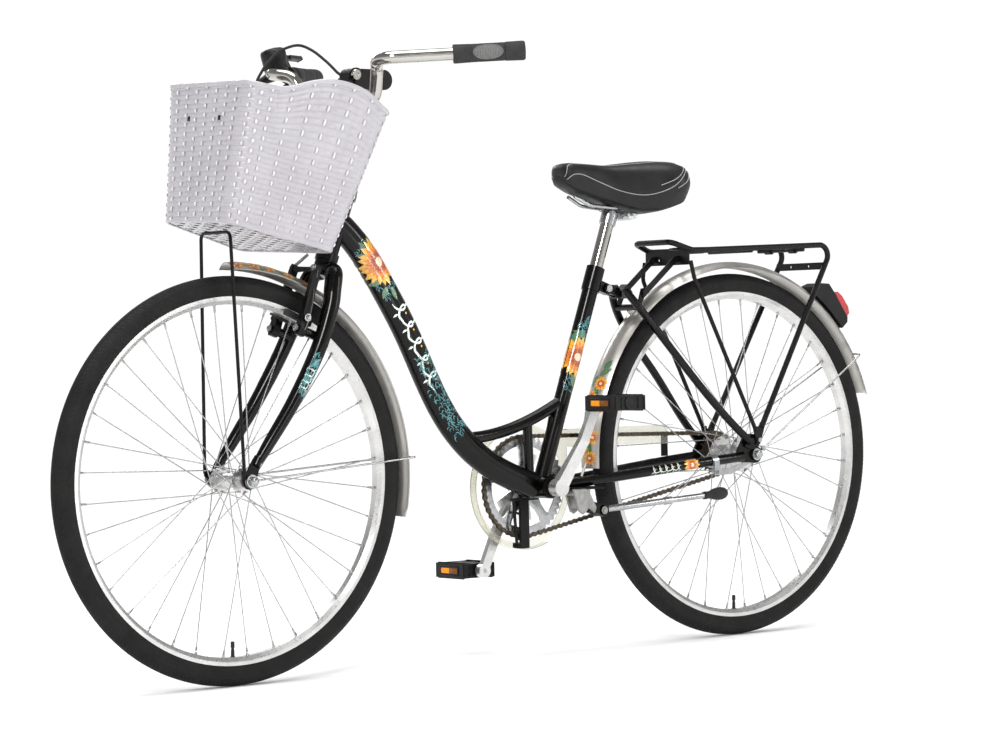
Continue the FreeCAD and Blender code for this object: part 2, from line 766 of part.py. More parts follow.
def make_cranks():
    solids, holes = crank_arm("left_crank", LEFT, 46, 67, 74, 87)
    node("left_crank", cut("left_crank", fuse("left_crank_solid", solids), holes))
    solids, holes = crank_arm("right_crank", RIGHT, 48.4, 69, 74, 87)
    for i in range(5):
        spoke = turned(36, size("crank_angle") + 180 + 36 + 72 * i)
        tilt = Rotation(Y_AXIS, -(size("crank_angle") + 180 + 36 + 72 * i))
        solids.append(block(f"spider_{i}", crank_axis + spoke + Y_AXIS * 50.9, 58, 5, 15, tilt))
    solids.append(span("spider_hub", crank_axis, 48.4, 53.4, "24"))
    node("right_crank", cut("right_crank", fuse("right_crank_solid", solids), holes))
    spindles, pedals = [], []
    for name, side in (("left_pedal", LEFT), ("right_pedal", RIGHT)):
        end = crank_axis + crank_end * -side
        spindles.append(span(name + "_spindle", end, side * 74, side * 178, "sizes.pedal_spindle_radius"))
        pedals.append(make_pedal(name, side, end))
    node("pedal_spindles", group("pedal_spindles", spindles))


def make_pedal(name, side, centre):
    """A moulded platform with windows either side of its barrel."""
    half, height = size("pedal_half_length"), size("pedal_half_height")
    inner, outer = 93, 176
    middle = centre + Y_AXIS * (side * (inner + outer) / 2)
    cage = block(name + "_cage", middle, 2 * half, outer - inner, 2 * height)
    cage.setExpression("Length", "sizes.pedal_half_length * 2")
    cage.setExpression("Height", "sizes.pedal_half_height * 2")
    windows = []
    for back in (-1, 1):
        for row in (-1, 1):
            spot = middle + Vector(back * 21.5, row * 19.5, 0)
            windows.append(block(f"{name}_window_{back}_{row}", spot, 18, 32, 2 * height + 2))
    bore = span(name + "_bore", centre, side * (inner - 1), side * 178.5,
                "sizes.pedal_spindle_radius + sizes.running_gap")
    return node(name, cut(name, cage, windows + [bore]))


def pitch_radius(teeth):
    return size("chain_pitch") / (2 * math.sin(math.pi / teeth))


class ChainPath:
    """The closed line through the chain's pins, measured in pitches from the chainring's top."""

    def __init__(self):
        self.big, self.small = size("chainring_teeth"), size("sprocket_teeth")
        between = rear_axle - crank_axis
        slope = math.degrees(math.atan2(between.z, between.x))
        gap = pitch_radius(self.big) - pitch_radius(self.small)
        spread = math.degrees(math.acos(gap / between.Length))
        self.top, self.bottom = slope + spread, slope - spread
        run = math.sqrt(between.Length ** 2 - gap ** 2) / size("chain_pitch")
        front = (360 - (self.top - self.bottom)) / (360 / self.big)
        rear = (self.top - self.bottom) / (360 / self.small)
        self.marks = [0, front, front + run, front + run + rear, front + 2 * run + rear]
        self.links = 2 * round(self.marks[4] / 2)

    def on_ring(self, angle):
        return crank_axis + turned(pitch_radius(self.big), angle)

    def on_sprocket(self, angle):
        return rear_axle + turned(pitch_radius(self.small), angle)

    def point(self, number):
        place = number * self.marks[4] / self.links
        if place <= self.marks[1]:
            return self.on_ring(self.top + place * 360 / self.big)
        if place <= self.marks[2]:
            share = (place - self.marks[1]) / (self.marks[2] - self.marks[1])
            return self.on_ring(self.bottom) * (1 - share) + self.on_sprocket(self.bottom) * share
        if place <= self.marks[3]:
            return self.on_sprocket(self.bottom + (place - self.marks[2]) * 360 / self.small)
        share = (place - self.marks[3]) / (self.marks[4] - self.marks[3])
        return self.on_sprocket(self.top) * (1 - share) + self.on_ring(self.top) * share

    def sprocket_pin_angle(self):
        """The angle of the first pin on the sprocket."""
        first = math.ceil(self.marks[2])
        return self.bottom + (first - self.marks[2]) * 360 / self.small


def link_plate(start, end, low, high):
    """One side plate of a link: two round ends and straight flanks."""
    along = (end - start).normalize()
    up = along.cross(Y_AXIS).normalize() * 4.0
    shift = Y_AXIS * (size("chain_line") + low)
    flank = [start + up + shift, end + up + shift, end - up + shift, start - up + shift]
    outline = Part.Wire([
        Part.LineSegment(flank[0], flank[1]).toShape(),
        Part.Arc(flank[1], end + along * 4.0 + shift, flank[2]).toShape(),
        Part.LineSegment(flank[2], flank[3]).toShape(),
        Part.Arc(flank[3], start - along * 4.0 + shift, flank[0]).toShape(),
    ])
    return Part.Face(outline).extrude(Y_AXIS * (high - low))


def make_chain(path):
    """Every link's two plates and its roller; inner and outer links take turns."""
    solids = []
    for number in range(path.links):
        here, there = path.point(number), path.point((number + 1) % path.links)
        near, far = (1.7, 2.7) if number % 2 else (2.8, 3.8)
        solids.append(link_plate(here, there, near, far))
        solids.append(link_plate(here, there, -far, -near))
        middle = here + Y_AXIS * (size("chain_line") - 1.6)
        solids.append(Part.makeCylinder(size("roller_radius"), 3.2, middle, Y_AXIS))
    return node("chain", shaped("chain", Part.makeCompound(solids)))


def make_sprockets(path):
    root = f"{pitch_radius(path.big):.3f} - sizes.roller_radius - 0.05"
    tip = f"{pitch_radius(path.big):.3f} + 3"
    low = Y_AXIS * (size("chain_line") - size("tooth_half_thickness"))
    thickness = "sizes.tooth_half_thickness * 2"
    ring_phase = -(path.top + 180 / path.big)
    node("chainring", toothed_body("chainring", "sizes.chainring_teeth", root, tip, "58", thickness,
                                   crank_axis + low, ring_phase))
    root = f"{pitch_radius(path.small):.3f} - sizes.roller_radius - 0.05"
    tip = f"{pitch_radius(path.small):.3f} + 3"
    sprocket_phase = -(path.sprocket_pin_angle() + 180 / path.small)
    node("rear_sprocket", toothed_body("rear_sprocket", "sizes.sprocket_teeth", root, tip, "17.02",
                                       thickness,
                                       rear_axle + low, sprocket_phase))


def make_chain_guard():
    """A clear ring and tail outside the chain, with a lip round the front, and its black bracket."""
    face_in, face_out, lip_in = 55.5, 57.0, 40.0
    disc = span("guard_disc", crank_axis, face_in, face_out, "sizes.guard_radius")
    window = span("guard_window", crank_axis, face_in - 1, face_out + 1, "sizes.guard_inner_radius")
    tail = block("guard_tail", at(910, (face_in + face_out) / 2, 393), 264, face_out - face_in, 33)
    corner = block("guard_corner", at(778, (face_in + face_out) / 2, 360), 22, face_out - face_in, 80)
    roof = block("guard_roof", at(910, (lip_in + face_out) / 2, 410.2), 264, face_out - lip_in, 1.5)
    band = span("guard_band", crank_axis, lip_in, face_out, "sizes.guard_radius")
    band_inside = span("guard_band_inside", crank_axis, lip_in - 1, face_out + 1,
                       "sizes.guard_radius - 1.5")
    mouth = block("guard_mouth", crank_axis + Vector(95, lip_in, 20), 190, 2 * (face_in - lip_in), 250)
    lip = cut("guard_lip", band, [band_inside, mouth])
    ring = cut("guard_ring", disc, [window])
    node("chain_guard", fuse("chain_guard", [ring, tail, corner, roof, lip]))
    solids = [
        block("guard_bracket_plate", at(664, 30, 285.3), 58, 12, 4),
        block("guard_bracket_post", at(664, 33, 239), 20, 6, 90),
        rod("guard_bracket_leg", at(640, 33, 285), at(646, 33, 204), "3"),
        rod("guard_bracket_bar_1", at(640, 33, 262), at(664, 33, 256), "2.5"),
        rod("guard_bracket_bar_2", at(646, 33, 212), at(664, 33, 212), "2.5"),
        block("guard_bracket_foot", at(664, 42.7, 199), 20, 25.4, 10),
    ]
    rear = block("guard_rear_plate", at(1035, 58.1, 372), 16, 2, 44)
    front = fuse("guard_front_bracket", solids)
    return node("chain_guard_bracket", group("chain_guard_bracket", [front, rear]))


# Mudguards, their wire stays, and the rear light

def mudguard_sheet(name, centre, half_width, start, end):
    """A thin crowned sheet turned about the wheel's axle between two angles above straight back."""
    thick = size("mudguard_sheet")
    crown = size("mudguard_radius")
    edge = 12.0

    def spot(radius, across):
        return centre + X_AXIS * radius + Y_AXIS * across

    outside = Part.Arc(spot(crown - edge, -half_width), spot(crown, 0), spot(crown - edge, half_width))
    inside = Part.Arc(spot(crown - edge, half_width - thick), spot(crown - thick, 0),
                      spot(crown - edge, thick - half_width))
    section = Part.Face(Part.Wire([
        outside.toShape(),
        Part.LineSegment(spot(crown - edge, half_width), spot(crown - edge, half_width - thick)).toShape(),
        inside.toShape(),
        Part.LineSegment(spot(crown - edge, thick - half_width), spot(crown - edge, -half_width)).toShape(),
    ]))
    section.rotate(centre, Y_AXIS, -start)
    return shaped(name, section.revolve(centre, Y_AXIS, start - end))


def wire_stay(name, axle, angle, half_width, eye, eye_at):
    """One wire from an eye beside the axle, round behind the mudguard, to the eye on the other side."""
    reach = size("mudguard_radius") + size("stay_wire_radius") + 0.2
    back = axle + turned(reach, angle)
    route = rounded_route([
        axle + eye - Y_AXIS * eye_at, back - Y_AXIS * (half_width + 6),
        back + Y_AXIS * (half_width + 6), axle + eye + Y_AXIS * eye_at,
    ], 10)
    return tube(name, route, "sizes.stay_wire_radius")


def make_mudguards():
    front = mudguard_sheet("front_sheet", front_axle, size("front_mudguard_half_width"), -13, 94)
    bridge = rod("front_mudguard_bolt", on_steering(-61), on_steering(-34.05), "4.5")
    node("front_mudguard", fuse("front_mudguard", [front, bridge]))
    rear = mudguard_sheet("rear_sheet", rear_axle, size("rear_mudguard_half_width"), 17, 182)
    pegs = [
        rod("upper_mudguard_bolt", rear_axle + turned(372.6, 132.4), rear_axle + turned(382.4, 132.4),
            "4.5"),
        rod("lower_mudguard_bolt", at(788, 0, 346), at(777.5, 0, 324), "2.5"),
    ]
    node("rear_mudguard", fuse("rear_mudguard", [rear] + pegs))
    eyes = []
    for side in SIDES:
        ring = span(f"front_stay_ring_{side}", front_axle, side * 59.55, side * 61.95, "12")
        hole = span(f"front_stay_hole_{side}", front_axle, side * 59, side * 62.5,
                    "sizes.front_axle_radius + 0.1")
        eyes.append(cut(f"front_stay_eye_{side}", ring, [hole]))
    wire = wire_stay("front_stay_wire", front_axle, 4, size("front_mudguard_half_width"), turned(10.8, 4),
                     60.75)
    node("front_mudguard_stay", fuse("front_mudguard_stay", [wire] + eyes))
    eyes = [span(f"rear_stay_eye_{side}", rear_axle + turned(22, 30), side * 65.05, side * 69.5,
                 "5") for side in SIDES]
    wire = wire_stay("rear_stay_wire", rear_axle, 30, size("rear_mudguard_half_width"), turned(22, 30),
                     67.2)
    node("rear_mudguard_stay", fuse("rear_mudguard_stay", [wire] + eyes))


def from_rear_axle(radius, angle, right):
    return rear_axle + turned(radius, angle) + Y_AXIS * right


def make_rear_light():
    """A black housing that sits on the mudguard, and its red lens."""
    sheet = size("mudguard_radius") + 0.9
    foot = [from_rear_axle(sheet, angle, -20) for angle in (40, 42, 44, 46, 48, 50, 52, 54, 56)]
    outline = foot + [from_rear_axle(radius, angle, -20) for radius, angle in (
        (384, 57.2), (402, 55.2), (414, 52.6), (409, 49), (399, 41), (392, 40),
    )]
    node("rear_light_housing", plate("rear_light_housing", outline, 40))
    outline = [from_rear_axle(radius, angle, -18) for radius, angle in (
        (409.2, 48.9), (418, 48.4), (419.5, 46.5), (416, 42.8), (410, 41.3), (399.2, 41),
    )]
    node("rear_light_lens", plate("rear_light_lens", outline, 36))


# Rear rack and luggage clamp

clamp_hinge = at(1300, 0, 745)


def make_rack():
    """Two rails that turn down to the dropouts, a raised front loop, cross bars, and two bolt plates."""
    route = rounded_route([
        at(1172, -70.9, 402), at(1380, -65, 755), at(1012, -62, 743), at(966, -52, 759),
        at(966, 52, 759), at(1012, 62, 743), at(1380, 65, 755), at(1172, 70.9, 402),
    ], [20, 40, 14, 14, 40, 20])
    solids = [
        tube("rack_rail", route, "sizes.rack_tube_radius"),
        axle_bar("front_cross_bar", at(1040, 0, 741), -60, 60, "sizes.rack_strut_radius"),
        axle_bar("middle_cross_bar", at(1165, 0, 743), -61, 61, "sizes.rack_strut_radius"),
        axle_bar("rear_cross_bar", clamp_hinge, -64, 64, "sizes.rack_strut_radius"),
        block("front_plate", at(1002, 0, 730), 3, 124, 28),
        block("light_plate", at(1351, 0, 713), 3, 130, 14),
    ]
    for side in SIDES:
        low = min(side * 69.1, side * 72.6)
        solids.append(plate(f"rack_foot_{side}", [
            at(1152, low, 373), at(1160, low, 369), at(1168, low, 374), at(1181, low, 408),
            at(1170, low, 412), at(1158, low, 392), at(1152, low, 384),
        ], 3.5))
    holes = []
    for side in SIDES:
        hole = at(1351, side * size("rack_hole_spacing") / 2, 713)
        holes.append(rod(f"light_plate_hole_{side}", hole - X_AXIS * 3, hole + X_AXIS * 3,
                         "sizes.rack_hole_radius"))
        holes.append(rod(f"front_plate_hole_{side}", at(999, side * 24, 726), at(1005, side * 24, 726),
                         "2.75"))
        holes.append(span(f"rack_foot_hole_{side}", foot_bolt_axis, side * 68, side * 74, "2.6"))
    node("rear_rack", cut("rear_rack", fuse("rack_solids", solids), holes))


def make_rack_struts():
    """Thin struts from the front plate to the dropouts, and flat ones to the seat stays."""
    solids = []
    for side in SIDES:
        route = rounded_route([at(1002, side * 66.3, 723), at(1003, side * 74.5, 690),
                               at(1154, side * 74.5, 396)], 30)
        parts = [tube(f"thin_strut_{side}", route, "sizes.rack_strut_radius")]
        low = min(side * 72.7, side * 76.3)
        parts.append(plate(f"strut_foot_{side}", [
            at(1154, low, 372), at(1163, low, 370), at(1168, low, 380), at(1159, low, 404),
            at(1147, low, 402), at(1151, low, 388),
        ], 3.6))
        hole = span(f"strut_foot_hole_{side}", foot_bolt_axis, side * 72, side * 77, "2.6")
        solids.append(cut(f"strut_{side}", fuse(f"strut_solid_{side}", parts), [hole]))
        low = min(side * 31.1, side * 33.1)
        flat = plate(f"flat_strut_{side}", [
            at(906, low, 664), at(912, low, 654), at(996, low, 722), at(1000.4, low, 722),
            at(1000.4, low, 734), at(990, low, 732),
        ], 2)
        solids.append(flat)
        solids.append(span(f"flat_strut_bolt_{side}", at(912, 0, 665), side * 33.15, side * 36, "4.5"))
    return node("rack_struts", group("rack_struts", solids))


def make_luggage_clamp():
    """A sprung wire frame that lies on the cross bars and swings up about the rear one."""
    height = size("rack_strut_radius") + size("clamp_wire_radius") + 0.3
    front = 741 + height
    route = rounded_route([
        clamp_hinge + Vector(-6, -34, height), at(1030, -26, front), at(1018, 0, front),
        at(1030, 26, front), clamp_hinge + Vector(-6, 34, height),
    ], [14, 30, 14])
    solids = [tube("clamp_frame", route, "sizes.clamp_wire_radius")]
    for back in (1090, 1200):
        reach = 26 + 8 * (back - 1030) / 264
        rise = (clamp_hinge.z - 741) * (back - 1018) / 276
        solids.append(axle_bar(f"clamp_bar_{back}", at(back, 0, front + rise), -reach, reach, "2"))
    bores = []
    for side in SIDES:
        solids.append(axle_bar(f"clamp_sleeve_{side}", clamp_hinge, side * 34 - 8, side * 34 + 8, "7"))
        solids.append(rod(f"clamp_root_{side}", clamp_hinge + Vector(-8, side * 34, height),
                          clamp_hinge + Vector(0, side * 34, 6), "2.4"))
        bores.append(axle_bar(f"clamp_bore_{side}", clamp_hinge, side * 34 - 9, side * 34 + 9,
                              "sizes.rack_strut_radius + sizes.running_gap"))
    return node("luggage_clamp", cut("luggage_clamp", fuse("luggage_clamp_solids", solids), bores))


# Side stand, rear axle and brake arm

stand_pivot = at(775, -54, 262)
stand_hinge = Vector(0, 0.898, -0.440).normalize()
stand_stowed = (at(1020, -68, 277) - stand_pivot).normalize()


def make_side_stand():
    """A cast bracket under the left chain stay, a leg that swings down from it, and its rubber foot."""
    cheek_in, cheek_out = 9.2, 12.2
    pin_low, pin_high = stand_pivot - stand_hinge * cheek_out, stand_pivot + stand_hinge * cheek_out
    cheeks = []
    for name, start, end in (("inner", cheek_in, cheek_out), ("outer", -cheek_out, -cheek_in)):
        cheek = rod(f"{name}_cheek", stand_pivot + stand_hinge * start, stand_pivot + stand_hinge * end,
                    "14")
        cheeks.append(cheek)
    solids = cheeks + [
        rod("stand_pin", pin_low, pin_high, "5"),
        block("stand_top_plate", at(757, -32, 303.5), 66, 30, 5, Rotation(Y_AXIS, -4)),
        block("stand_web", at(748, -44, 281), 40, 11, 42),
        block("stand_bridge", at(753, -53, 272), 20, 26, 22),
    ]
    clearance = rod("stand_swing_space", stand_pivot - stand_hinge * 9.15,
                    stand_pivot + stand_hinge * 9.15, "15")
    room = cut("stand_bracket_solid", fuse("stand_bracket_tubes", solids[:2] + solids[3:]), [clearance])
    stay = chain_stay("stand_stay_space", LEFT, "sizes.chain_stay_radius + 0.1")
    bracket = cut("stand_bracket_cut", room, [stay])
    node("kickstand_bracket", fuse("kickstand_bracket", [bracket, solids[2]]))
    eye = rod("stand_eye", stand_pivot - stand_hinge * 9, stand_pivot + stand_hinge * 9, "12")
    bore = rod("stand_bore", stand_pivot - stand_hinge * 10, stand_pivot + stand_hinge * 10,
               "5 + sizes.running_gap")
    length = size("stand_length")
    leg = rod("stand_tube", stand_pivot + stand_stowed * 8, stand_pivot + stand_stowed * (length - 6),
              "sizes.stand_leg_radius")
    collar = rod("stand_collar", stand_pivot + stand_stowed * 134, stand_pivot + stand_stowed * 144,
                 "sizes.stand_leg_radius + 2")
    node("kickstand_leg", cut("kickstand_leg", fuse("stand_leg_solids", [eye, leg, collar]), [bore]))
    foot = rod("stand_foot_outside", stand_pivot + stand_stowed * (length - 16),
               stand_pivot + stand_stowed * (length + 38),
               "sizes.stand_leg_radius + 2.5")
    socket = rod("stand_foot_socket", stand_pivot + stand_stowed * (length - 17),
                 stand_pivot + stand_stowed * (length - 6), "sizes.stand_leg_radius")
    node("kickstand_foot", cut("kickstand_foot", foot, [socket]))


def make_rear_axle():
    left = [
        span("left_cone", rear_axle, -50.2, -56.9, "9"),
        span("left_washer", rear_axle, -65.05, -67, "9"),
        span("left_nut", rear_axle, -67, -76, "8.5"),
    ]
    right = [
        span("right_cone", rear_axle, 50.2, 59.9, "9"),
        span("right_washer", rear_axle, 65.05, 67, "9"),
        span("right_nut", rear_axle, 67, 76, "8.5"),
    ]
    bar = axle_bar("rear_axle_bar", rear_axle, -81, 81, "sizes.rear_axle_radius")
    node("rear_axle", fuse("rear_axle", [bar] + left + right))
    arm_plate = plate("arm_plate", [
        at(1166, -59.8, 364), at(1175, -59.8, 350), at(1166, -59.8, 337), at(1150, -59.8, 333),
        at(1100, -59.8, 314), at(1096, -59.8, 326), at(1131, -59.8, 334), at(1135, -59.8, 352),
        at(1148, -59.8, 363),
    ], 2.8)
    bent = block("arm_end", at(1072, -67.5, 320.5), 66, 3, 12, Rotation(Z_AXIS, 18.4))
    stay = chain_stay_route(LEFT).Edges[0].Curve
    place = stay.parameter(at(1053, -58.3, 340.8))
    spot, along = stay.value(place), stay.tangent(place)[0]
    ring = rod("arm_clip_ring", spot - along * 7, spot + along * 7, "12")
    tab = block("arm_clip_tab", at(1053, -70.8, 329), 13, 5, 25)
    bolt = axle_bar("arm_clip_bolt", at(1053, 0, 320.5), -80, -66, "3.2")
    holes = [
        rod("arm_clip_bore", spot - along * 12, spot + along * 12, "sizes.chain_stay_radius + 0.3"),
        axle_bar("arm_axle_hole", rear_axle, -61, -56, "sizes.rear_axle_radius + 0.1"),
    ]
    solids = fuse("arm_solids", [arm_plate, bent, ring, tab, bolt])
    node("coaster_brake_arm", cut("coaster_brake_arm", solids, holes))


def make_front_axle():
    solids = [axle_bar("front_axle_bar", front_axle, -76, 76, "sizes.front_axle_radius")]
    for side in SIDES:
        solids.append(span(f"front_cone_{side}", front_axle, side * 43.7, side * 51.9, "8.5"))
        solids.append(span(f"front_nut_{side}", front_axle, side * 62, side * 70, "8.5"))
    node("front_axle", fuse("front_axle", solids))


# Fork, stem, handlebar and brake

def tapering(name, points, radii):
    """A round bar of changing radius through the points."""
    rings = []
    for i, (point, radius) in enumerate(zip(points, radii)):
        before, after = points[max(i - 1, 0)], points[min(i + 1, len(points) - 1)]
        rings.append(Part.Wire(Part.Circle(point, (after - before).normalize(), radius).toShape()))
    return shaped(name, Part.makeLoft(rings, True, False))


brake_forward = 36.0
brake_pivot_up, brake_top_up, brake_pad_up = -147.0, -34.0, -125.0


def make_fork():
    solids = [
        rod("steerer", on_steering(-34), on_steering(140), "sizes.steerer_radius"),
        rod("crown_race", on_steering(-13), on_steering(-6.3), "18.5"),
        rod("crown", on_steering(-32), on_steering(-12), "17"),
    ]
    holes = [rod("steerer_inside", on_steering(40), on_steering(141), "sizes.steerer_bore")]
    for side in SIDES:
        solids.append(tapering(f"blade_{side}", [
            at(203, side * 6, 712), at(201, side * 19, 708), at(198, side * 30, 696), at(191, side * 38,
                                                                                         678),
            at(181, side * 46, 640), at(148, side * 54, 570), at(94, side * 57, 485), at(43, side * 57,
                                                                                         418),
            at(12, side * 57, 376),
        ], [13, 13, 12.8, 12.5, 12, 11.3, 10, 8.6, 7.6]))
        low = min(side * 52.0, side * 57.0)
        solids.append(span(f"fork_dropout_{side}", front_axle, side * 52, side * 57, "14"))
        solids.append(plate(f"fork_tang_{side}", [
            at(-8, low, 358), at(10, low, 344), at(24, low, 382), at(14, low, 394), at(2, low, 378),
        ], 5))
        boss = on_steering(brake_pivot_up, 0, side * 40)
        solids.append(rod(f"brake_boss_{side}", boss + steering_forward * 2,
                          boss + steering_forward * 28.5, "8"))
        solids.append(rod(f"brake_stud_{side}", boss + steering_forward * 28,
                          boss + steering_forward * 47, "4"))
        solids.append(rod(f"brake_stud_head_{side}", boss + steering_forward * 43.3,
                          boss + steering_forward * 47, "7"))
    holes.append(axle_bar("fork_axle_hole", front_axle, -58, 58, "sizes.front_axle_radius + 0.1"))
    node("fork", cut("fork", fuse("fork_solids", solids), holes))


def make_brake_arms():
    """Two arms on studs in front of the blades; each carries its rim pad on a bolt."""
    for name, side in (("left", LEFT), ("right", RIGHT)):
        def spot(up, right):
            return on_steering(up, 29, side * right)

        outline = [
            spot(-158, 36), spot(-158, 45), spot(-146, 50), spot(-118, 46), spot(-70, 42), spot(-30, 39.5),
            spot(-25, 35), spot(-30, 31), spot(-70, 32), spot(-118, 34), spot(-140, 31), spot(-150, 32),
        ]
        web = shaped(f"{name}_arm_web", outline_face(outline).extrude(steering_forward * 14))
        stud = on_steering(brake_pivot_up, 0, side * 40)
        bore = rod(f"{name}_arm_bore", stud + steering_forward * 27, stud + steering_forward * 50,
                   "4 + sizes.running_gap")
        pad = on_steering(brake_pad_up, brake_forward)
        post_hole = span(f"{name}_post_hole", pad, side * 30, side * 50, "3.02")
        arm = cut(f"{name}_brake_arm", web, [bore, post_hole])
        node(f"{name}_brake_arm", arm)
        tangent = Rotation(Y_AXIS, 25)
        rubber = block(f"{name}_pad_block", pad + Y_AXIS * (side * 20.6), 55, 10, 10, tangent)
        post = span(f"{name}_pad_post", pad, side * 22, side * 52, "3")
        washer = span(f"{name}_pad_washer", pad, side * 24, side * 30.5, "6")
        node(f"{name}_brake_pad", fuse(f"{name}_brake_pad", [rubber, post, washer]))


bar_end = at(409, 311, 1076)
grip_line = (bar_end - at(204, 166, 1066)).normalize()


def bar_route():
    half = [bar_end, at(204, 166, 1066), at(232, 128, 1058), at(247, 100, 1001), at(262, 28, 1000)]
    left = [Vector(point.x, -point.y, point.z) for point in half]
    return rounded_route(left + half[::-1], [28, 30, 34, 60, 60, 34, 30, 28])


def make_handlebar():
    outside = tube("bar_outside", bar_route(), "sizes.bar_radius")
    inside = tube("bar_inside", bar_route(), "sizes.bar_radius - sizes.tube_wall")
    node("handlebar", cut("handlebar", outside, [inside]))
    grips = []
    for side in SIDES:
        along = Vector(grip_line.x, side * grip_line.y, grip_line.z)
        end = Vector(bar_end.x, side * bar_end.y, bar_end.z)
        start = end - along * (size("grip_length") - 3)
        outside = rod(f"grip_outside_{side}", start, end + along * 3, "sizes.grip_radius")
        inside = rod(f"grip_inside_{side}", start - along, end, "sizes.bar_radius + 0.02")
        grips.append(cut(f"grip_{side}", outside, [inside]))
    node("handlebar_grips", group("handlebar_grips", grips))
    clamp = at(262, 0, 1000)
    solids = [
        rod("quill", on_steering(60), on_steering(326), "sizes.quill_radius"),
        axle_bar("stem_head_front", at(281, 0, 1045), -17, 17, "18"),
        axle_bar("stem_head_rear", at(328, 0, 1045), -17, 17, "18"),
        block("stem_head", at(304.5, 0, 1045), 47, 34, 36),
        axle_bar("stem_elbow", at(270, 0, 1049), -15, 15, "16"),
        block("stem_arm", at(265, 0, 1025), 26, 30, 46, Rotation(Y_AXIS, -4)),
        axle_bar("stem_clamp", clamp, -19, 19, "17"),
    ]
    bore = axle_bar("stem_bore", clamp, -20, 20, "sizes.bar_radius + 0.02")
    bolt = axle_bar("stem_bolt_left", at(270, 0, 1050), -20.5, -17.05, "9")
    stem = cut("stem_casting", fuse("stem_solids", solids), [bore])
    node("stem", group("stem", [stem, bolt]))


# Right brake lever: distances along the grip, out from the bar, and across the lever's plane

lever_clamp = bar_end - grip_line * 141
lever_out = (Z_AXIS * 0.90 + Vector(-0.582, 0.812, 0) * 0.42).normalize()
lever_out = (lever_out - grip_line * lever_out.dot(grip_line)).normalize()
lever_across = grip_line.cross(lever_out)
lever_turn = Rotation(grip_line, lever_across * -1, lever_out, "XYZ")


def on_lever(along, out, across=0):
    return lever_clamp + grip_line * along + lever_out * out + lever_across * across


adjuster_along = Vector(-0.82, 0.10, -0.56).normalize()
adjuster_tip = on_lever(-4, -14) + adjuster_along * 24


def make_brake_lever():
    """A clamp with two cheeks on the bar, and the lever that turns on a pin between them."""
    solids = [
        rod("lever_clamp_ring", on_lever(-8, 0), on_lever(8, 0), "15.5"),
        block("lever_base", on_lever(0, 17), 26, 15, 10, lever_turn),
        block("lever_cheek_1", on_lever(0, 32, 5.5), 26, 4, 26, lever_turn),
        block("lever_cheek_2", on_lever(0, 32, -5.5), 26, 4, 26, lever_turn),
        rod("lever_pin", on_lever(4, 36, -9), on_lever(4, 36, 9), "2.5"),
        rod("lever_adjuster", on_lever(-4, -14) - adjuster_along * 6, adjuster_tip, "4.5"),
    ]
    bores = [rod("lever_clamp_bore", on_lever(-40, 0), on_lever(9, 0), "sizes.bar_radius + 0.02")]
    node("lever_bracket", cut("lever_bracket", fuse("lever_bracket_solids", solids), bores))
    root = rod("lever_barrel", on_lever(4, 36, -3.3), on_lever(4, 36, 3.3), "6.5")
    blade = [block("lever_blade_root", on_lever(26, 37.5), 44, 6.6, 9, lever_turn),
             block("lever_blade", on_lever(74, 38.5), 60, 11, 7, lever_turn),
             rod("lever_tip", on_lever(104, 38.5, -5.5), on_lever(104, 38.5, 5.5), "4.5")]
    hole = rod("lever_hole", on_lever(4, 36, -4), on_lever(4, 36, 4), "2.5 + sizes.running_gap")
    node("brake_lever", cut("brake_lever", fuse("lever_solids", [root] + blade), [hole]))


noodle_top = at(201, 47, 738)


def cable_route():
    """From the lever's adjuster, forward and up in an arch, past the stem, then down beside the head tube."""
    last = at(216, 44, 806)
    return [
        adjuster_tip + adjuster_along * 0.3, adjuster_tip + adjuster_along * 60, at(186, 222, 1058),
        at(234, 196, 1120), at(262, 140, 1122), at(280, 80, 1086), at(237, 50, 1006), at(234, 37,
                                                                                         900), last,
        noodle_top + (last - noodle_top).normalize() * 3.8,
    ]


def cord_bends(points):
    """The cord rule's radii: 0.45 of the shorter run over the tangent of half the turn."""
    radii = []
    for before, corner, after in zip(points, points[1:], points[2:]):
        shorter = min((corner - before).Length, (after - corner).Length)
        turn = (corner - before).getAngle(after - corner)
        radii.append(0.45 * shorter / math.tan(turn / 2))
    return radii


def make_cable():
    points = cable_route()
    bends = cord_bends(points)
    print("cable radii", [round(bend) for bend in bends])
    route = rounded_route(points, bends)
    cable = tube("brake_cable", route, "sizes.cable_radius")
    node("brake_cable", cable)
    print("cable length", round(route.Length))
    tip = on_steering(brake_top_up, brake_forward, 43.2)
    route = rounded_route([noodle_top, at(172, 58, 713), tip], 10)
    node("brake_noodle", tube("brake_noodle", route, "sizes.cable_radius + 0.6"))


# Basket: distances along its floor from its front edge, and up from its floor

basket_origin = at(-59, 0, 787)
basket_back = turned(1, -size("basket_tilt"))
basket_up = turned(1, 90 - size("basket_tilt"))


def in_basket(back, right, up):
    return basket_origin + basket_back * back + Y_AXIS * right + basket_up * up


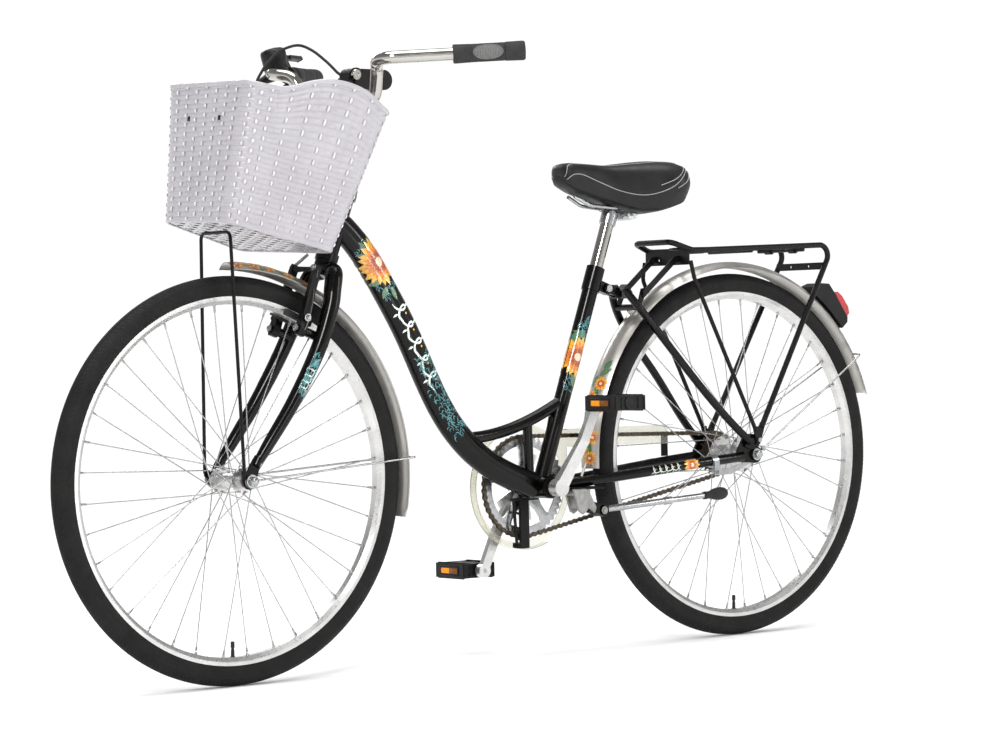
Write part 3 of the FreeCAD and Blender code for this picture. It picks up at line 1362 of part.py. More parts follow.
def basket_section(up, inset):
    """The outline at a height: a trapezium, wider at the rear, with rounded corners, drawn in by an inset."""
    share = up / size("basket_height")
    front, rear = -34 * share + inset, 183 + 30 * share - inset
    front_half, rear_half = 96 + 28 * share - inset, 140 + 40 * share - inset
    corner = 26 - inset
    spots = [(front, -front_half), (rear, -rear_half), (rear, rear_half), (front, front_half)]
    edges = []
    for i, (back, right) in enumerate(spots):
        here = in_basket(back, right, up)
        before = in_basket(*spots[i - 1], up)
        after = in_basket(*spots[(i + 1) % 4], up)
        into, out = (before - here).normalize(), (after - here).normalize()
        middle = here + (into + out).normalize() * (corner * 0.42)
        edges.append((here + into * corner, middle, here + out * corner))
    outline = []
    for i, (start, middle, end) in enumerate(edges):
        outline.append(Part.Arc(start, middle, end).toShape())
        outline.append(Part.LineSegment(end, edges[(i + 1) % 4][0]).toShape())
    return Part.Wire(outline)


def make_basket():
    """A tapering tub with a wavy rim and two square holes in its front."""
    wall = size("basket_wall")
    outside = shaped("basket_outside", Part.makeLoft([basket_section(0, 0), basket_section(276, 0)], True,
                                                     True))
    inside = shaped("basket_inside",
                    Part.makeLoft([basket_section(wall, wall), basket_section(280, wall)], True, True))
    rim = Part.BSplineCurve()
    rim.interpolate([in_basket(back, -230, up) for back, up in (
        (-80, 241), (-34, 240), (30, 239), (70, 254), (104, 268), (140, 263), (176, 250), (213,
                                                                                           244), (260, 243),
    )])
    ends = [in_basket(260, -230, 330), in_basket(-80, -230, 330)]
    edge = rim.toShape()
    above = Part.Face(Part.Wire([
        edge,
        Part.LineSegment(in_basket(260, -230, 243), ends[0]).toShape(),
        Part.LineSegment(ends[0], ends[1]).toShape(),
        Part.LineSegment(ends[1], in_basket(-80, -230, 241)).toShape(),
    ])).extrude(Y_AXIS * 460)
    tilt = Rotation(Y_AXIS, size("basket_tilt"))
    holes = [block(f"basket_hole_{side}", in_basket(-24, side * 22, 172), 30, 9, 9, tilt) for side in SIDES]
    node("basket", cut("basket", outside, [inside, shaped("basket_above_rim", above)] + holes))
    rear_low, rear_high = in_basket(183, 0, 0), in_basket(213, 0, 240)
    lean = rear_high - rear_low
    face_turn = Rotation(X_AXIS, Y_AXIS, lean, "ZYX")
    face = rear_low + lean * 0.60
    outward = lean.cross(Y_AXIS).normalize()
    outward = outward if outward.x > 0 else outward * -1
    ring = rod("bracket_ring", on_steering(130.05), on_steering(131.95), "18")
    hole = rod("bracket_ring_hole", on_steering(129), on_steering(133), "sizes.steerer_radius + 0.02")
    reach = (face + outward * 2 - on_steering(131)).dot(steering_forward)
    arm = block("bracket_arm", on_steering(131, (reach + 14) / 2), 1.9, 26, reach - 14,
                Rotation(steering_up, Y_AXIS, steering_forward, "XYZ"))
    back_plate = block("bracket_plate", face + outward * 1.6, 3, 64, 110, face_turn)
    node("basket_bracket", cut("basket_bracket", fuse("bracket_solids", [ring, arm, back_plate]), [hole]))
    eyes = []
    for side in SIDES:
        low = min(side * 57.05, side * 59.5)
        ring = span(f"support_ring_{side}", front_axle, side * 57.05, side * 59.5, "9")
        ear = plate(f"support_ear_{side}", [
            at(-18, low, 368), at(-17, low, 357), at(-4, low, 345), at(4, low, 358), at(-11, low, 369),
        ], 2.45)
        hole = span(f"support_hole_{side}", front_axle, side * 56, side * 60,
                    "sizes.front_axle_radius + 0.1")
        eyes.append(cut(f"support_eye_{side}", fuse(f"support_eye_solid_{side}", [ring, ear]), [hole]))
    route = rounded_route([
        at(-14, -61.4, 362), at(-22, -45, 773.3), at(-22, 45, 773.3), at(-14, 61.4, 362),
    ], 12)
    node("basket_supports", fuse("basket_supports",
                                 [tube("support_rod", route, "sizes.basket_rod_radius")] + eyes))


make_frame()
make_seat_stays()
make_frame_bolts()
make_headset()
make_saddle()
make_bottom_bracket()
make_cranks()
chain_path = ChainPath()
make_chain(chain_path)
make_sprockets(chain_path)
make_chain_guard()
make_mudguards()
make_rear_light()
make_rack()
make_rack_struts()
make_luggage_clamp()
make_side_stand()
make_rear_axle()
make_front_axle()
make_fork()
make_brake_arms()
make_handlebar()
make_brake_lever()
make_cable()
make_basket()
print("chain links", chain_path.links, round(chain_path.marks[4], 3))

# Check and write

doc.recompute()
for thing in doc.Objects:
    broken = [word for word in thing.State if word in ("Invalid", "Error")]
    if broken:
        raise RuntimeError(f"{thing.Label} is {broken}")
for thing in NODES:
    if thing.Shape.isNull() or not thing.Shape.isValid():
        raise RuntimeError(f"{thing.Label} has no valid shape")
for thing in NODES:
    thing.Shape.exportStep(f"parts/{thing.Label}.step")
    print(thing.Label, len(thing.Shape.Solids), round(thing.Shape.Volume), flush=True)
print(len(NODES), "sub-parts")
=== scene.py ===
"""Looks for the city bicycle: materials for every part, and the pieces that CAD keeps plain.

Distances in calls to at() are millimetres behind the front axle, to the rider's right, and above the ground.
"""

import math
import random

import bpy
from mathutils import Matrix, Vector
from mathutils.bvhtree import BVHTree


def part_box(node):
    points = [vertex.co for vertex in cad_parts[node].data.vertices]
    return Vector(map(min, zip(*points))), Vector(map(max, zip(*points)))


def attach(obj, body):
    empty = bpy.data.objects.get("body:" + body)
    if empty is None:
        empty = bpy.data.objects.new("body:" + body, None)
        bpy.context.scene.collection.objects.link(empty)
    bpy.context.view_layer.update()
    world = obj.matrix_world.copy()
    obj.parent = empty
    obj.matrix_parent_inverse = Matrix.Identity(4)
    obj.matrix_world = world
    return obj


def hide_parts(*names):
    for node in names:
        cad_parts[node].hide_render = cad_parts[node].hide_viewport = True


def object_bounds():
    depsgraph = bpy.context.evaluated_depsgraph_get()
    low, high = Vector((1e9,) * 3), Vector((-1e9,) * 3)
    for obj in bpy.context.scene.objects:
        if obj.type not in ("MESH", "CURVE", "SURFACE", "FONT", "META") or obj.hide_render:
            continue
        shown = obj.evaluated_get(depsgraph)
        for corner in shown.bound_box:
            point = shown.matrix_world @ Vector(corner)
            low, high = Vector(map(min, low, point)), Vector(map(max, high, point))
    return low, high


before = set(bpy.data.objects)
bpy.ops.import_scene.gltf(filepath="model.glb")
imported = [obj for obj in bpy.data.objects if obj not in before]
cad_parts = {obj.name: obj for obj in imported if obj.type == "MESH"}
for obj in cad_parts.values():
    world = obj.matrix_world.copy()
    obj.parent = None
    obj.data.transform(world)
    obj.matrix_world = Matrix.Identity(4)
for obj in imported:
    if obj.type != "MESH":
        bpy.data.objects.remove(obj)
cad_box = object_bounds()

MM = 0.001
LEFT, RIGHT = -1, 1
SIDES = (LEFT, RIGHT)
X_AXIS, Y_AXIS, Z_AXIS = Vector((1, 0, 0)), Vector((0, 1, 0)), Vector((0, 0, 1))
chance = random.Random(7)


def middle_of(node):
    low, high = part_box(node)
    return (low + high) / 2


front_axle, rear_axle = middle_of("front_rim"), middle_of("rear_rim")


def at(back, right, up):
    """A point from its distance behind the front axle, to the right of the middle, and above the ground."""
    return Vector((front_axle.x + back * MM, right * MM, up * MM))


def polar(length, degrees):
    """A vector in the wheels' plane, turned up from straight back."""
    turn = math.radians(degrees)
    return radial(turn) * (length * MM)


def radial(turn):
    """A unit vector in the wheels' plane, at an angle in radians."""
    return Vector((math.cos(turn), 0, math.sin(turn)))


def catmull_rom(a, b, c, d, t):
    """A point between b and c on the smooth curve through all four."""
    return 0.5 * (2 * b + (c - a) * t + (2 * a - 5 * b + 4 * c - d) * t * t
                  + (3 * b - a - 3 * c + d) * t ** 3)


def smooth_step(low, high, value):
    share = min(1.0, max(0.0, (value - low) / (high - low)))
    return share * share * (3 - 2 * share)


def between(table, value):
    """The second column of a table at a value of its first, on a smooth curve through its rows."""
    if value <= table[0][0]:
        return table[0][1]
    if value >= table[-1][0]:
        return table[-1][1]
    i = max(k for k, row in enumerate(table) if row[0] <= value)

    def slope(k):
        low, high = table[max(k - 1, 0)], table[min(k + 1, len(table) - 1)]
        return (high[1] - low[1]) / (high[0] - low[0])

    (x0, y0), (x1, y1) = table[i], table[i + 1]
    span = x1 - x0
    t = (value - x0) / span
    low_part = y0 * (1 + 2 * t) + slope(i) * span * t
    high_part = y1 * (3 - 2 * t) + slope(i + 1) * span * (t - 1)
    return low_part * (1 - t) ** 2 + high_part * t * t


# Materials


class Look:
    """A material under construction: a Principled shader with procedural inputs."""

    def __init__(self, name, **sockets):
        self.material = bpy.data.materials.new(name)
        self.material.use_nodes = True
        self.tree = self.material.node_tree
        self.shader = self.tree.nodes["Principled BSDF"]
        self.place = self.node("ShaderNodeTexCoord").outputs["Object"]
        for socket, value in sockets.items():
            self.set(socket.replace("_", " "), value)

    def set(self, socket, value):
        self.shader.inputs[socket].default_value = value

    def node(self, kind, **inputs):
        made = self.tree.nodes.new(kind)
        for key, value in inputs.items():
            if key in made.inputs:
                made.inputs[key].default_value = value
            else:
                setattr(made, key, value)
        return made

    def link(self, source, target):
        self.tree.links.new(source, target)

    def noise(self, scale, detail=3.0, stretch=None):
        made = self.node("ShaderNodeTexNoise", Scale=scale, Detail=detail, Roughness=0.55)
        place = self.place
        if stretch:
            mapping = self.node("ShaderNodeMapping", Scale=stretch)
            self.link(place, mapping.inputs["Vector"])
            place = mapping.outputs["Vector"]
        self.link(place, made.inputs["Vector"])
        return made.outputs["Fac"]

    def cells(self, scale):
        made = self.node("ShaderNodeTexVoronoi", feature="F1", Scale=scale)
        self.link(self.place, made.inputs["Vector"])
        return made.outputs["Distance"]

    def colours(self, factor, *stops):
        """The base colour follows a factor through (place, colour) stops."""
        ramp = self.node("ShaderNodeValToRGB")
        elements = ramp.color_ramp.elements
        while len(elements) < len(stops):
            elements.new(0.5)
        for element, (place, colour) in zip(elements, stops):
            element.position, element.color = place, (*colour, 1)
        self.link(factor, ramp.inputs["Fac"])
        self.link(ramp.outputs["Color"], self.shader.inputs["Base Color"])
        return self

    def tones(self, scale, detail, *stops):
        """Cloudy colour variation."""
        return self.colours(self.noise(scale, detail), *stops)

    def lattice(self, scale, *stops):
        """Colour that follows small moulded cells."""
        return self.colours(self.cells(scale), *stops)

    def gloss(self, scale, detail, low, high):
        """Cloudy roughness between two values."""
        scaled = self.node("ShaderNodeMapRange")
        for socket, value in (("From Min", 0.3), ("From Max", 0.7), ("To Min", low), ("To Max", high)):
            scaled.inputs[socket].default_value = value
        self.link(self.noise(scale, detail), scaled.inputs["Value"])
        self.link(scaled.outputs["Result"], self.shader.inputs["Roughness"])
        return self

    def relief(self, height, distance, strength):
        """Bumps from a factor; further calls add to them. Distance is in millimetres."""
        made = self.node("ShaderNodeBump", Strength=strength, Distance=distance * MM)
        self.link(height, made.inputs["Height"])
        before = self.shader.inputs["Normal"].links
        if before:
            self.link(before[0].from_socket, made.inputs["Normal"])
        self.link(made.outputs["Normal"], self.shader.inputs["Normal"])
        return self

    def grain(self, scale, detail, distance, strength):
        return self.relief(self.noise(scale, detail), distance, strength)

    def dimples(self, scale, distance, strength):
        return self.relief(self.cells(scale), distance, strength)


def make_looks():
    looks = {}

    def add(name, **sockets):
        looks[name] = Look(name, **sockets)
        return looks[name]

    def grey(value):
        return (value, value, value)

    paint = add("frame_paint", Specular_IOR_Level=0.12, Coat_Weight=0.22, Coat_Roughness=0.04)
    paint.tones(14, 3, (0.35, (0.0008, 0.0007, 0.0006)), (0.7, (0.003, 0.0024, 0.002)))
    paint.grain(900, 2, 0.01, 0.25).gloss(40, 4, 0.18, 0.3)

    black = add("black_metal", Specular_IOR_Level=0.2)
    black.tones(60, 3, (0.3, grey(0.0015)), (0.75, (0.005, 0.0045, 0.004)))
    black.grain(2600, 2, 0.03, 0.5).gloss(90, 4, 0.32, 0.48)

    chrome = add("chrome", Metallic=1.0)
    chrome.tones(9, 3, (0.3, (0.5, 0.485, 0.455)), (0.8, (0.4, 0.385, 0.36)))
    chrome.grain(500, 2, 0.004, 0.2).gloss(35, 5, 0.05, 0.14)

    steel = add("bright_steel", Metallic=1.0)
    steel.tones(40, 3, (0.3, (0.42, 0.425, 0.43)), (0.8, (0.31, 0.315, 0.32)))
    steel.grain(700, 2, 0.003, 0.15).gloss(120, 3, 0.22, 0.32)

    alloy = add("silver_alloy", Metallic=0.9)
    alloy.tones(30, 4, (0.3, (0.62, 0.615, 0.605)), (0.8, (0.5, 0.495, 0.49)))
    alloy.grain(1800, 3, 0.015, 0.35).gloss(220, 4, 0.24, 0.4)

    guard = add("silver_guard", Metallic=0.75, Coat_Weight=0.5, Coat_Roughness=0.12)
    guard.lattice(2600, (0.1, (0.52, 0.505, 0.475)), (0.8, (0.4, 0.385, 0.36)))
    guard.grain(700, 2, 0.01, 0.3).gloss(60, 4, 0.28, 0.42)

    cast = add("grey_cast", Roughness=0.5, Metallic=0.7)
    cast.tones(90, 5, (0.3, (0.36, 0.355, 0.34)), (0.75, (0.2, 0.2, 0.195))).grain(700, 4, 0.12, 0.6)

    drive = add("drive_steel", Metallic=0.85)
    drive.tones(260, 5, (0.3, (0.13, 0.105, 0.075)), (0.75, (0.04, 0.033, 0.027)))
    drive.grain(1500, 3, 0.03, 0.5).gloss(400, 4, 0.3, 0.55)

    tyre = add("tyre_rubber", Specular_IOR_Level=0.14)
    tyre.tones(25, 5, (0.3, grey(0.008)), (0.75, (0.015, 0.0147, 0.0143)))
    tyre.grain(2400, 3, 0.05, 0.5).gloss(120, 4, 0.54, 0.72)

    rubber = add("black_rubber", Roughness=0.55, Specular_IOR_Level=0.3)
    rubber.tones(45, 4, (0.3, grey(0.01)), (0.75, grey(0.02))).grain(2000, 3, 0.05, 0.5)

    plastic = add("black_plastic", Specular_IOR_Level=0.22)
    plastic.tones(30, 4, (0.3, grey(0.005)), (0.75, (0.01, 0.01, 0.0098)))
    plastic.grain(1700, 3, 0.03, 0.5).gloss(80, 4, 0.34, 0.5)

    grip = add("grip_grey", Roughness=0.66, Specular_IOR_Level=0.2)
    grip.tones(60, 4, (0.3, (0.022, 0.022, 0.0225)), (0.75, grey(0.034))).grain(1800, 3, 0.05, 0.6)

    pad = add("grip_pad", Roughness=0.58)
    pad.tones(80, 4, (0.3, (0.11, 0.11, 0.108)), (0.75, (0.15, 0.15, 0.147))).grain(1800, 3, 0.04, 0.5)

    skin = add("saddle_skin", Specular_IOR_Level=0.28)
    skin.tones(25, 4, (0.3, (0.006, 0.006, 0.0062)), (0.75, grey(0.012)))
    skin.dimples(620, 0.18, 0.5).grain(70, 3, 0.4, 0.25).gloss(60, 4, 0.36, 0.52)

    piping = add("piping_grey", Roughness=0.45)
    piping.tones(300, 3, (0.3, grey(0.26)), (0.75, grey(0.38))).grain(2500, 2, 0.05, 0.5)

    basket = add("basket_plastic", Coat_Weight=0.4, Coat_Roughness=0.1, Subsurface_Weight=0.08,
                 Subsurface_Radius=grey(0.004))
    basket.tones(18, 4, (0.3, (0.43, 0.415, 0.44)), (0.75, (0.375, 0.36, 0.385)))
    basket.relief(basket.noise(260, 3, stretch=(0.25, 0.25, 3.0)), 0.12, 0.35).gloss(70, 4, 0.24, 0.38)

    # A paler, glossier copy of the basket plastic for the uprights: a painted highlight, because the stakes
    # are the same plastic as the bands.
    light = add("basket_light", Roughness=0.2, Coat_Weight=0.6, Coat_Roughness=0.08)
    light.tones(60, 3, (0.3, (0.72, 0.7, 0.74)), (0.75, (0.62, 0.6, 0.64))).grain(600, 2, 0.03, 0.3)

    guard_plastic = add("guard_plastic", Roughness=0.1, Transmission_Weight=0.85, IOR=1.3)
    guard_plastic.tones(22, 4, (0.3, (0.88, 0.875, 0.79)), (0.8, (0.82, 0.81, 0.71))).grain(400, 3, 0.03, 0.4)

    red = add("red_lens", Roughness=0.12, Transmission_Weight=0.35, IOR=1.49, Coat_Weight=1.0)
    red.lattice(420, (0.1, (0.85, 0.02, 0.03)), (0.7, (0.5, 0.004, 0.01))).dimples(420, 0.4, 0.7)

    # The second amber is the same lens made darker: painted shade on one half of each reflector.
    ambers = (
        ("amber_lens", (1.0, 0.42, 0.012), (0.85, 0.26, 0.006)),
        ("dark_amber_lens", (0.3, 0.1, 0.012), (0.14, 0.045, 0.008)),
    )
    for name, middle, edge in ambers:
        amber = add(name, Roughness=0.3, Specular_IOR_Level=0.2)
        amber.lattice(480, (0.1, middle), (0.7, edge)).dimples(480, 0.2, 0.4)

    inks = (
        ("ink_yellow", (0.86, 0.5, 0.045), (0.74, 0.33, 0.02)),
        ("ink_orange", (0.78, 0.23, 0.02), (0.55, 0.12, 0.012)),
        ("ink_rust", (0.45, 0.09, 0.02), (0.26, 0.045, 0.012)),
        ("ink_cream", (0.9, 0.72, 0.5), (0.82, 0.52, 0.3)),
        ("ink_teal", (0.06, 0.28, 0.3), (0.03, 0.17, 0.2)),
        ("ink_green", (0.1, 0.2, 0.06), (0.04, 0.1, 0.035)),
        ("ink_white", (0.82, 0.88, 0.8), (0.6, 0.75, 0.68)),
    )
    for name, pale, dark in inks:
        ink = add(name, Roughness=0.3, Coat_Weight=1.0, Coat_Roughness=0.04)
        ink.tones(320, 4, (0.32, dark), (0.62, pale)).grain(900, 2, 0.008, 0.3)
    return {name: look.material for name, look in looks.items()}


looks = make_looks()

NODE_LOOKS = {
    "frame_paint": ("frame", "seat_stays", "fork", "headset_cups"),
    "black_metal": ("rear_rack", "rack_struts", "luggage_clamp", "basket_supports", "basket_bracket", "stem",
                    "headset_locknut", "bottom_bracket_cups", "chain_guard_bracket", "left_brake_arm",
                    "right_brake_arm"),
    "chrome": ("handlebar", "seatpost"),
    "bright_steel": ("frame_bolts", "saddle_clamp", "saddle_rails", "front_axle", "rear_axle", "front_spokes",
                     "rear_spokes", "front_mudguard_stay", "rear_mudguard_stay", "brake_noodle",
                     "crank_spindle", "pedal_spindles", "kickstand_leg", "coaster_brake_arm", "chainring"),
    "silver_alloy": ("front_rim", "rear_rim", "front_hub", "rear_hub", "left_crank", "right_crank"),
    "silver_guard": ("front_mudguard", "rear_mudguard"),
    "grey_cast": ("kickstand_bracket",),
    "drive_steel": ("chain", "rear_sprocket"),
    "tyre_rubber": ("front_tyre", "rear_tyre"),
    "black_rubber": ("brake_cable", "left_brake_pad", "right_brake_pad", "kickstand_foot"),
    "black_plastic": ("lever_bracket", "brake_lever", "left_pedal", "right_pedal", "saddle_base",
                      "rear_light_housing"),
    "guard_plastic": ("chain_guard",),
    "red_lens": ("rear_light_lens",),
    "saddle_skin": ("saddle_cover",),
    "basket_plastic": ("basket",),
    "grip_grey": ("handlebar_grips",),
}
for look, names in NODE_LOOKS.items():
    for name in names:
        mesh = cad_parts[name].data
        mesh.materials.clear()
        mesh.materials.append(looks[look])


# Mesh building


class Shape:
    """Points and faces gathered into one mesh."""

    def __init__(self):
        self.points, self.faces, self.slots, self.slot = [], [], [], 0

    def add_faces(self, faces):
        self.faces += faces
        self.slots += [self.slot] * len(faces)

    def rings(self, rings, closed=False, caps=True, around=True):
        """Joins rings of points in turn; around closes each ring, closed joins the last to the first."""
        start, size = len(self.points), len(rings[0])
        for ring in rings:
            self.points += ring
        count = len(rings)
        faces = []
        for i in range(count if closed else count - 1):
            low, high = start + i * size, start + (i + 1) % count * size
            for j in range(size if around else size - 1):
                k = (j + 1) % size
                faces.append((low + j, low + k, high + k, high + j))
        if caps and not closed and around:
            faces.append(tuple(start + j for j in range(size))[::-1])
            faces.append(tuple(start + (count - 1) * size + j for j in range(size)))
        self.add_faces(faces)

    def tube(self, route, radius, sides=10, closed=False):
        """A round tube along points; radius is one number or one for each point, in millimetres."""
        radii = radius if isinstance(radius, (list, tuple)) else [radius] * len(route)
        rings, reference = [], None
        for i, point in enumerate(route):
            before = route[i - 1] if i or closed else point
            after = route[(i + 1) % len(route)] if i + 1 < len(route) or closed else point
            tangent = (after - before).normalized()
            if reference is None:
                reference = tangent.orthogonal().normalized()
            reference = (reference - tangent * reference.dot(tangent)).normalized()
            side = tangent.cross(reference)
            turns = [2 * math.pi * j / sides for j in range(sides)]
            rings.append([point + (reference * math.cos(t) + side * math.sin(t)) * (radii[i] * MM)
                          for t in turns])
        self.rings(rings, closed=closed)

    def lathe(self, centre, axis, profile, sides=32, caps=True, phase=0.0):
        """Turns (distance along, radius) pairs about an axis, in millimetres."""
        axis = axis.normalized()
        first = axis.orthogonal().normalized()
        second = axis.cross(first)
        rings = []
        for along, radius in profile:
            middle = centre + axis * (along * MM)
            turns = [2 * math.pi * (j + phase) / sides for j in range(sides)]
            rings.append([middle + (first * math.cos(t) + second * math.sin(t)) * (radius * MM)
                          for t in turns])
        self.rings(rings, caps=caps)

    def box(self, centre, axes, sizes, bevel=0.6):
        """A block with chamfered edges; axes are its length, width and height directions."""
        along, across, up = axes
        half = [value * MM / 2 for value in sizes]
        edge = min(bevel * MM, min(half) * 0.9)
        rings = []
        for reach, inset in ((-half[0], edge), (-half[0] + edge, 0), (half[0] - edge, 0), (half[0], edge)):
            wide, tall = half[1] - inset, half[2] - inset
            corners = [(wide, tall - edge), (wide - edge, tall), (edge - wide, tall), (-wide, tall - edge),
                       (-wide, edge - tall), (edge - wide, -tall), (wide - edge, -tall), (wide, edge - tall)]
            rings.append([centre + along * reach + across * a + up * b for a, b in corners])
        self.rings(rings)

    def piece(self, name, body, slot, materials, smooth=True, level=0):
        """Makes the object: it rides on a body and takes its finish from its materials; slot is not used."""
        mesh = bpy.data.meshes.new(name)
        mesh.from_pydata([tuple(point) for point in self.points], [], self.faces)
        mesh.update()
        mesh.polygons.foreach_set("use_smooth", [smooth] * len(self.faces))
        names = [materials] if isinstance(materials, str) else list(materials)
        for look in names:
            mesh.materials.append(looks[look])
        if len(names) > 1:
            mesh.polygons.foreach_set("material_index", self.slots)
        if smooth:
            mesh.set_sharp_from_angle(angle=math.radians(42))
        made = bpy.data.objects.new(name, mesh)
        bpy.context.scene.collection.objects.link(made)
        if level:
            modifier = made.modifiers.new("smooth", "SUBSURF")
            modifier.levels = modifier.render_levels = level
        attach(made, body)
        return made


def curve_through(points, steps=8):
    """Catmull-Rom points through the given ones."""
    ends = [points[0] * 2 - points[1]] + list(points) + [points[-1] * 2 - points[-2]]
    line = []
    for a, b, c, d in zip(ends, ends[1:], ends[2:], ends[3:]):
        for step in range(steps):
            t = step / steps
            line.append(catmull_rom(a, b, c, d, t))
    return line + [points[-1]]


def hex_bolt(shape, centre, axis, radius, height):
    shape.lathe(centre, axis, [(0, radius * 1.45), (0.8, radius * 1.45), (1.0, radius * 1.2)], 24)
    shape.lathe(centre, axis, [(1.0, radius), (height, radius), (height + 0.5, radius * 0.86)], 6)


# Wheels: tyres with a ribbed shoulder, spoke nipples and valves

TYRE_RIBS = 260
RIB_STEPS = 4
TYRE_CROWN, TYRE_HALF = 331.0, 19.0
BEAD_RADIUS, BEAD_HALF = 312.0, 10.9


def tyre_groove(degrees, rib_phase):
    """How deep the tread is cut at an angle across the tyre, in millimetres."""
    side = abs(degrees)
    depth = 0.0
    for groove in (7, 20):
        depth += 0.9 * math.exp(-((side - groove) / 1.8) ** 2)
    if 27 < side < 60:
        wave = (rib_phase + side * 0.03) % 1.0
        depth += 1.0 * smooth_step(27, 31, side) * (1 - smooth_step(56, 60, side)) * (wave < 0.4)
    depth -= 0.45 * math.exp(-((side - 76) / 2.0) ** 2)
    depth -= 0.35 * math.exp(-((side - 98) / 2.0) ** 2)
    return depth


def make_tyre(kind, axle):
    half = [0, 4, 7, 10, 17, 20, 23, 27, 31, 38, 45, 52, 57, 60, 68, 73, 76, 79, 88, 95, 98, 101, 109, 116.6]
    angles = [-a for a in reversed(half[1:])] + half
    count = TYRE_RIBS * RIB_STEPS
    rings = []
    for i in range(count):
        turn = 2 * math.pi * i / count
        outward = radial(turn)
        phase = (i % RIB_STEPS) / RIB_STEPS
        ring = [axle + outward * (BEAD_RADIUS * MM) - Y_AXIS * (BEAD_HALF * MM)]
        for degrees in angles:
            lean = math.radians(degrees)
            reach = TYRE_HALF - tyre_groove(degrees, phase if degrees > 0 else phase + 0.5)
            radius = TYRE_CROWN + reach * math.cos(lean)
            ring.append(axle + outward * (radius * MM) + Y_AXIS * (reach * math.sin(lean) * MM))
        ring.append(axle + outward * (BEAD_RADIUS * MM) + Y_AXIS * (BEAD_HALF * MM))
        rings.append(ring)
    shape = Shape()
    shape.rings(rings, closed=True)
    made = shape.piece(f"{kind}_tyre_treaded", f"{kind}_wheel", "tyre_rubber", "tyre_rubber")
    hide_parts(f"{kind}_tyre")


def spoke_ends(node, axle):
    """The rim end and the hub end of every spoke in a node, from its separate wires."""
    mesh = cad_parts[node].data
    group = list(range(len(mesh.vertices)))

    def root(i):
        while group[i] != i:
            group[i] = group[group[i]]
            i = group[i]
        return i

    same_place = {}
    for vertex in mesh.vertices:
        key = tuple(round(value, 6) for value in vertex.co)
        group[root(vertex.index)] = root(same_place.setdefault(key, vertex.index))
    for edge in mesh.edges:
        group[root(edge.vertices[0])] = root(edge.vertices[1])
    wires = {}
    for vertex in mesh.vertices:
        wires.setdefault(root(vertex.index), []).append(vertex.co)
    ends = []
    for points in wires.values():
        reach = [math.hypot(point.x - axle.x, point.z - axle.z) for point in points]
        middle = (max(reach) + min(reach)) / 2
        outer = [point for point, r in zip(points, reach) if r > middle]
        inner = [point for point, r in zip(points, reach) if r <= middle]
        ends.append((sum(outer, Vector()) / len(outer), sum(inner, Vector()) / len(inner)))
    return ends


def make_wheel_details(kind, axle):
    nipples = Shape()
    heads = Shape()
    for rim_end, hub_end in spoke_ends(f"{kind}_spokes", axle):
        along = (hub_end - rim_end).normalized()
        nipples.lathe(rim_end, along, [(-3, 3.0), (0.5, 3.0), (1.4, 2.2), (9, 1.9), (11.5, 1.8),
                                       (12, 1.2)], 8)
        out = Y_AXIS * (1 if hub_end.y > 0 else -1)
        bend = hub_end - along * (0.5 * MM)
        heads.lathe(bend, out, [(-3.4, 1.3), (1.2, 1.3), (1.3, 2.2), (2.0, 1.9), (2.4, 0.9)], 8)
    nipples.piece(f"{kind}_spoke_nipples", f"{kind}_wheel", "bright_steel", "bright_steel")
    heads.piece(f"{kind}_spoke_heads", f"{kind}_wheel", "bright_steel", "bright_steel")
    valve = Shape()
    inward = -polar(1, -91).normalized()
    base = axle - inward * (302 * MM)
    valve.lathe(base, inward, [(-1, 5.5), (1.0, 5.2), (2.4, 3.4), (14, 3.1), (15, 2.6), (17, 2.5)], 16)
    valve.lathe(base, inward, [(17, 3.2), (18, 3.6), (26, 3.5), (27.5, 2.9), (28, 1.5)], 12)
    valve.piece(f"{kind}_valve", f"{kind}_wheel", "black_rubber", "black_rubber")
    seams = Shape()
    for side in SIDES:
        for radius, depth in ((318.2, 0.5), (308.6, 0.45)):
            line = [axle + radial(t) * (radius * MM) + Y_AXIS * (side * 12.3 * MM)
                    for t in (2 * math.pi * i / 240 for i in range(240))]
            seams.tube(line, depth, 6, closed=True)
    seams.piece(f"{kind}_rim_edges", f"{kind}_wheel", "silver_alloy", "silver_alloy")


for wheel, wheel_axle in (("front", front_axle), ("rear", rear_axle)):
    make_tyre(wheel, wheel_axle)
    make_wheel_details(wheel, wheel_axle)


def make_axle_nuts():
    """A washer, a nut and the threaded end on each side of both axles."""
    for node, body in (("front_axle", "steering"), ("rear_axle", "frame")):
        low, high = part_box(node)
        middle = (low + high) / 2
        nuts = Shape()
        for side, reach in ((LEFT, low.y), (RIGHT, high.y)):
            outer = Vector((middle.x, reach, middle.z))
            axis = Y_AXIS * side
            inner = outer - axis * (12 * MM)
            nuts.lathe(inner, axis, [(0, 11.5), (1.6, 11.5), (1.8, 9.0)], 32)
            nuts.lathe(inner, axis, [(1.6, 8.4), (8.6, 8.4), (9.4, 7.2)], 6)
            nuts.lathe(inner, axis, [(9.2, 6.6), (11.4, 5.6), (12.6, 3.4), (13.0, 0.8)], 24)
        nuts.piece(f"{node}_nuts", body, "bright_steel", "bright_steel")


make_axle_nuts()

# Chain: rollers, pins and plates on its line round the chainring and the sprocket

CHAIN_LINE, RING_RADIUS, SPROCKET_RADIUS = 47.0, 93.06, 40.6
CHAIN_LINKS = 110
PLATE_RADIUS, PLATE_WAIST, PLATE_THICK = 4.3, 2.2, 1.0
RING_TEETH, RING_ARMS = 46, 5
crank_centre = middle_of("crank_spindle")


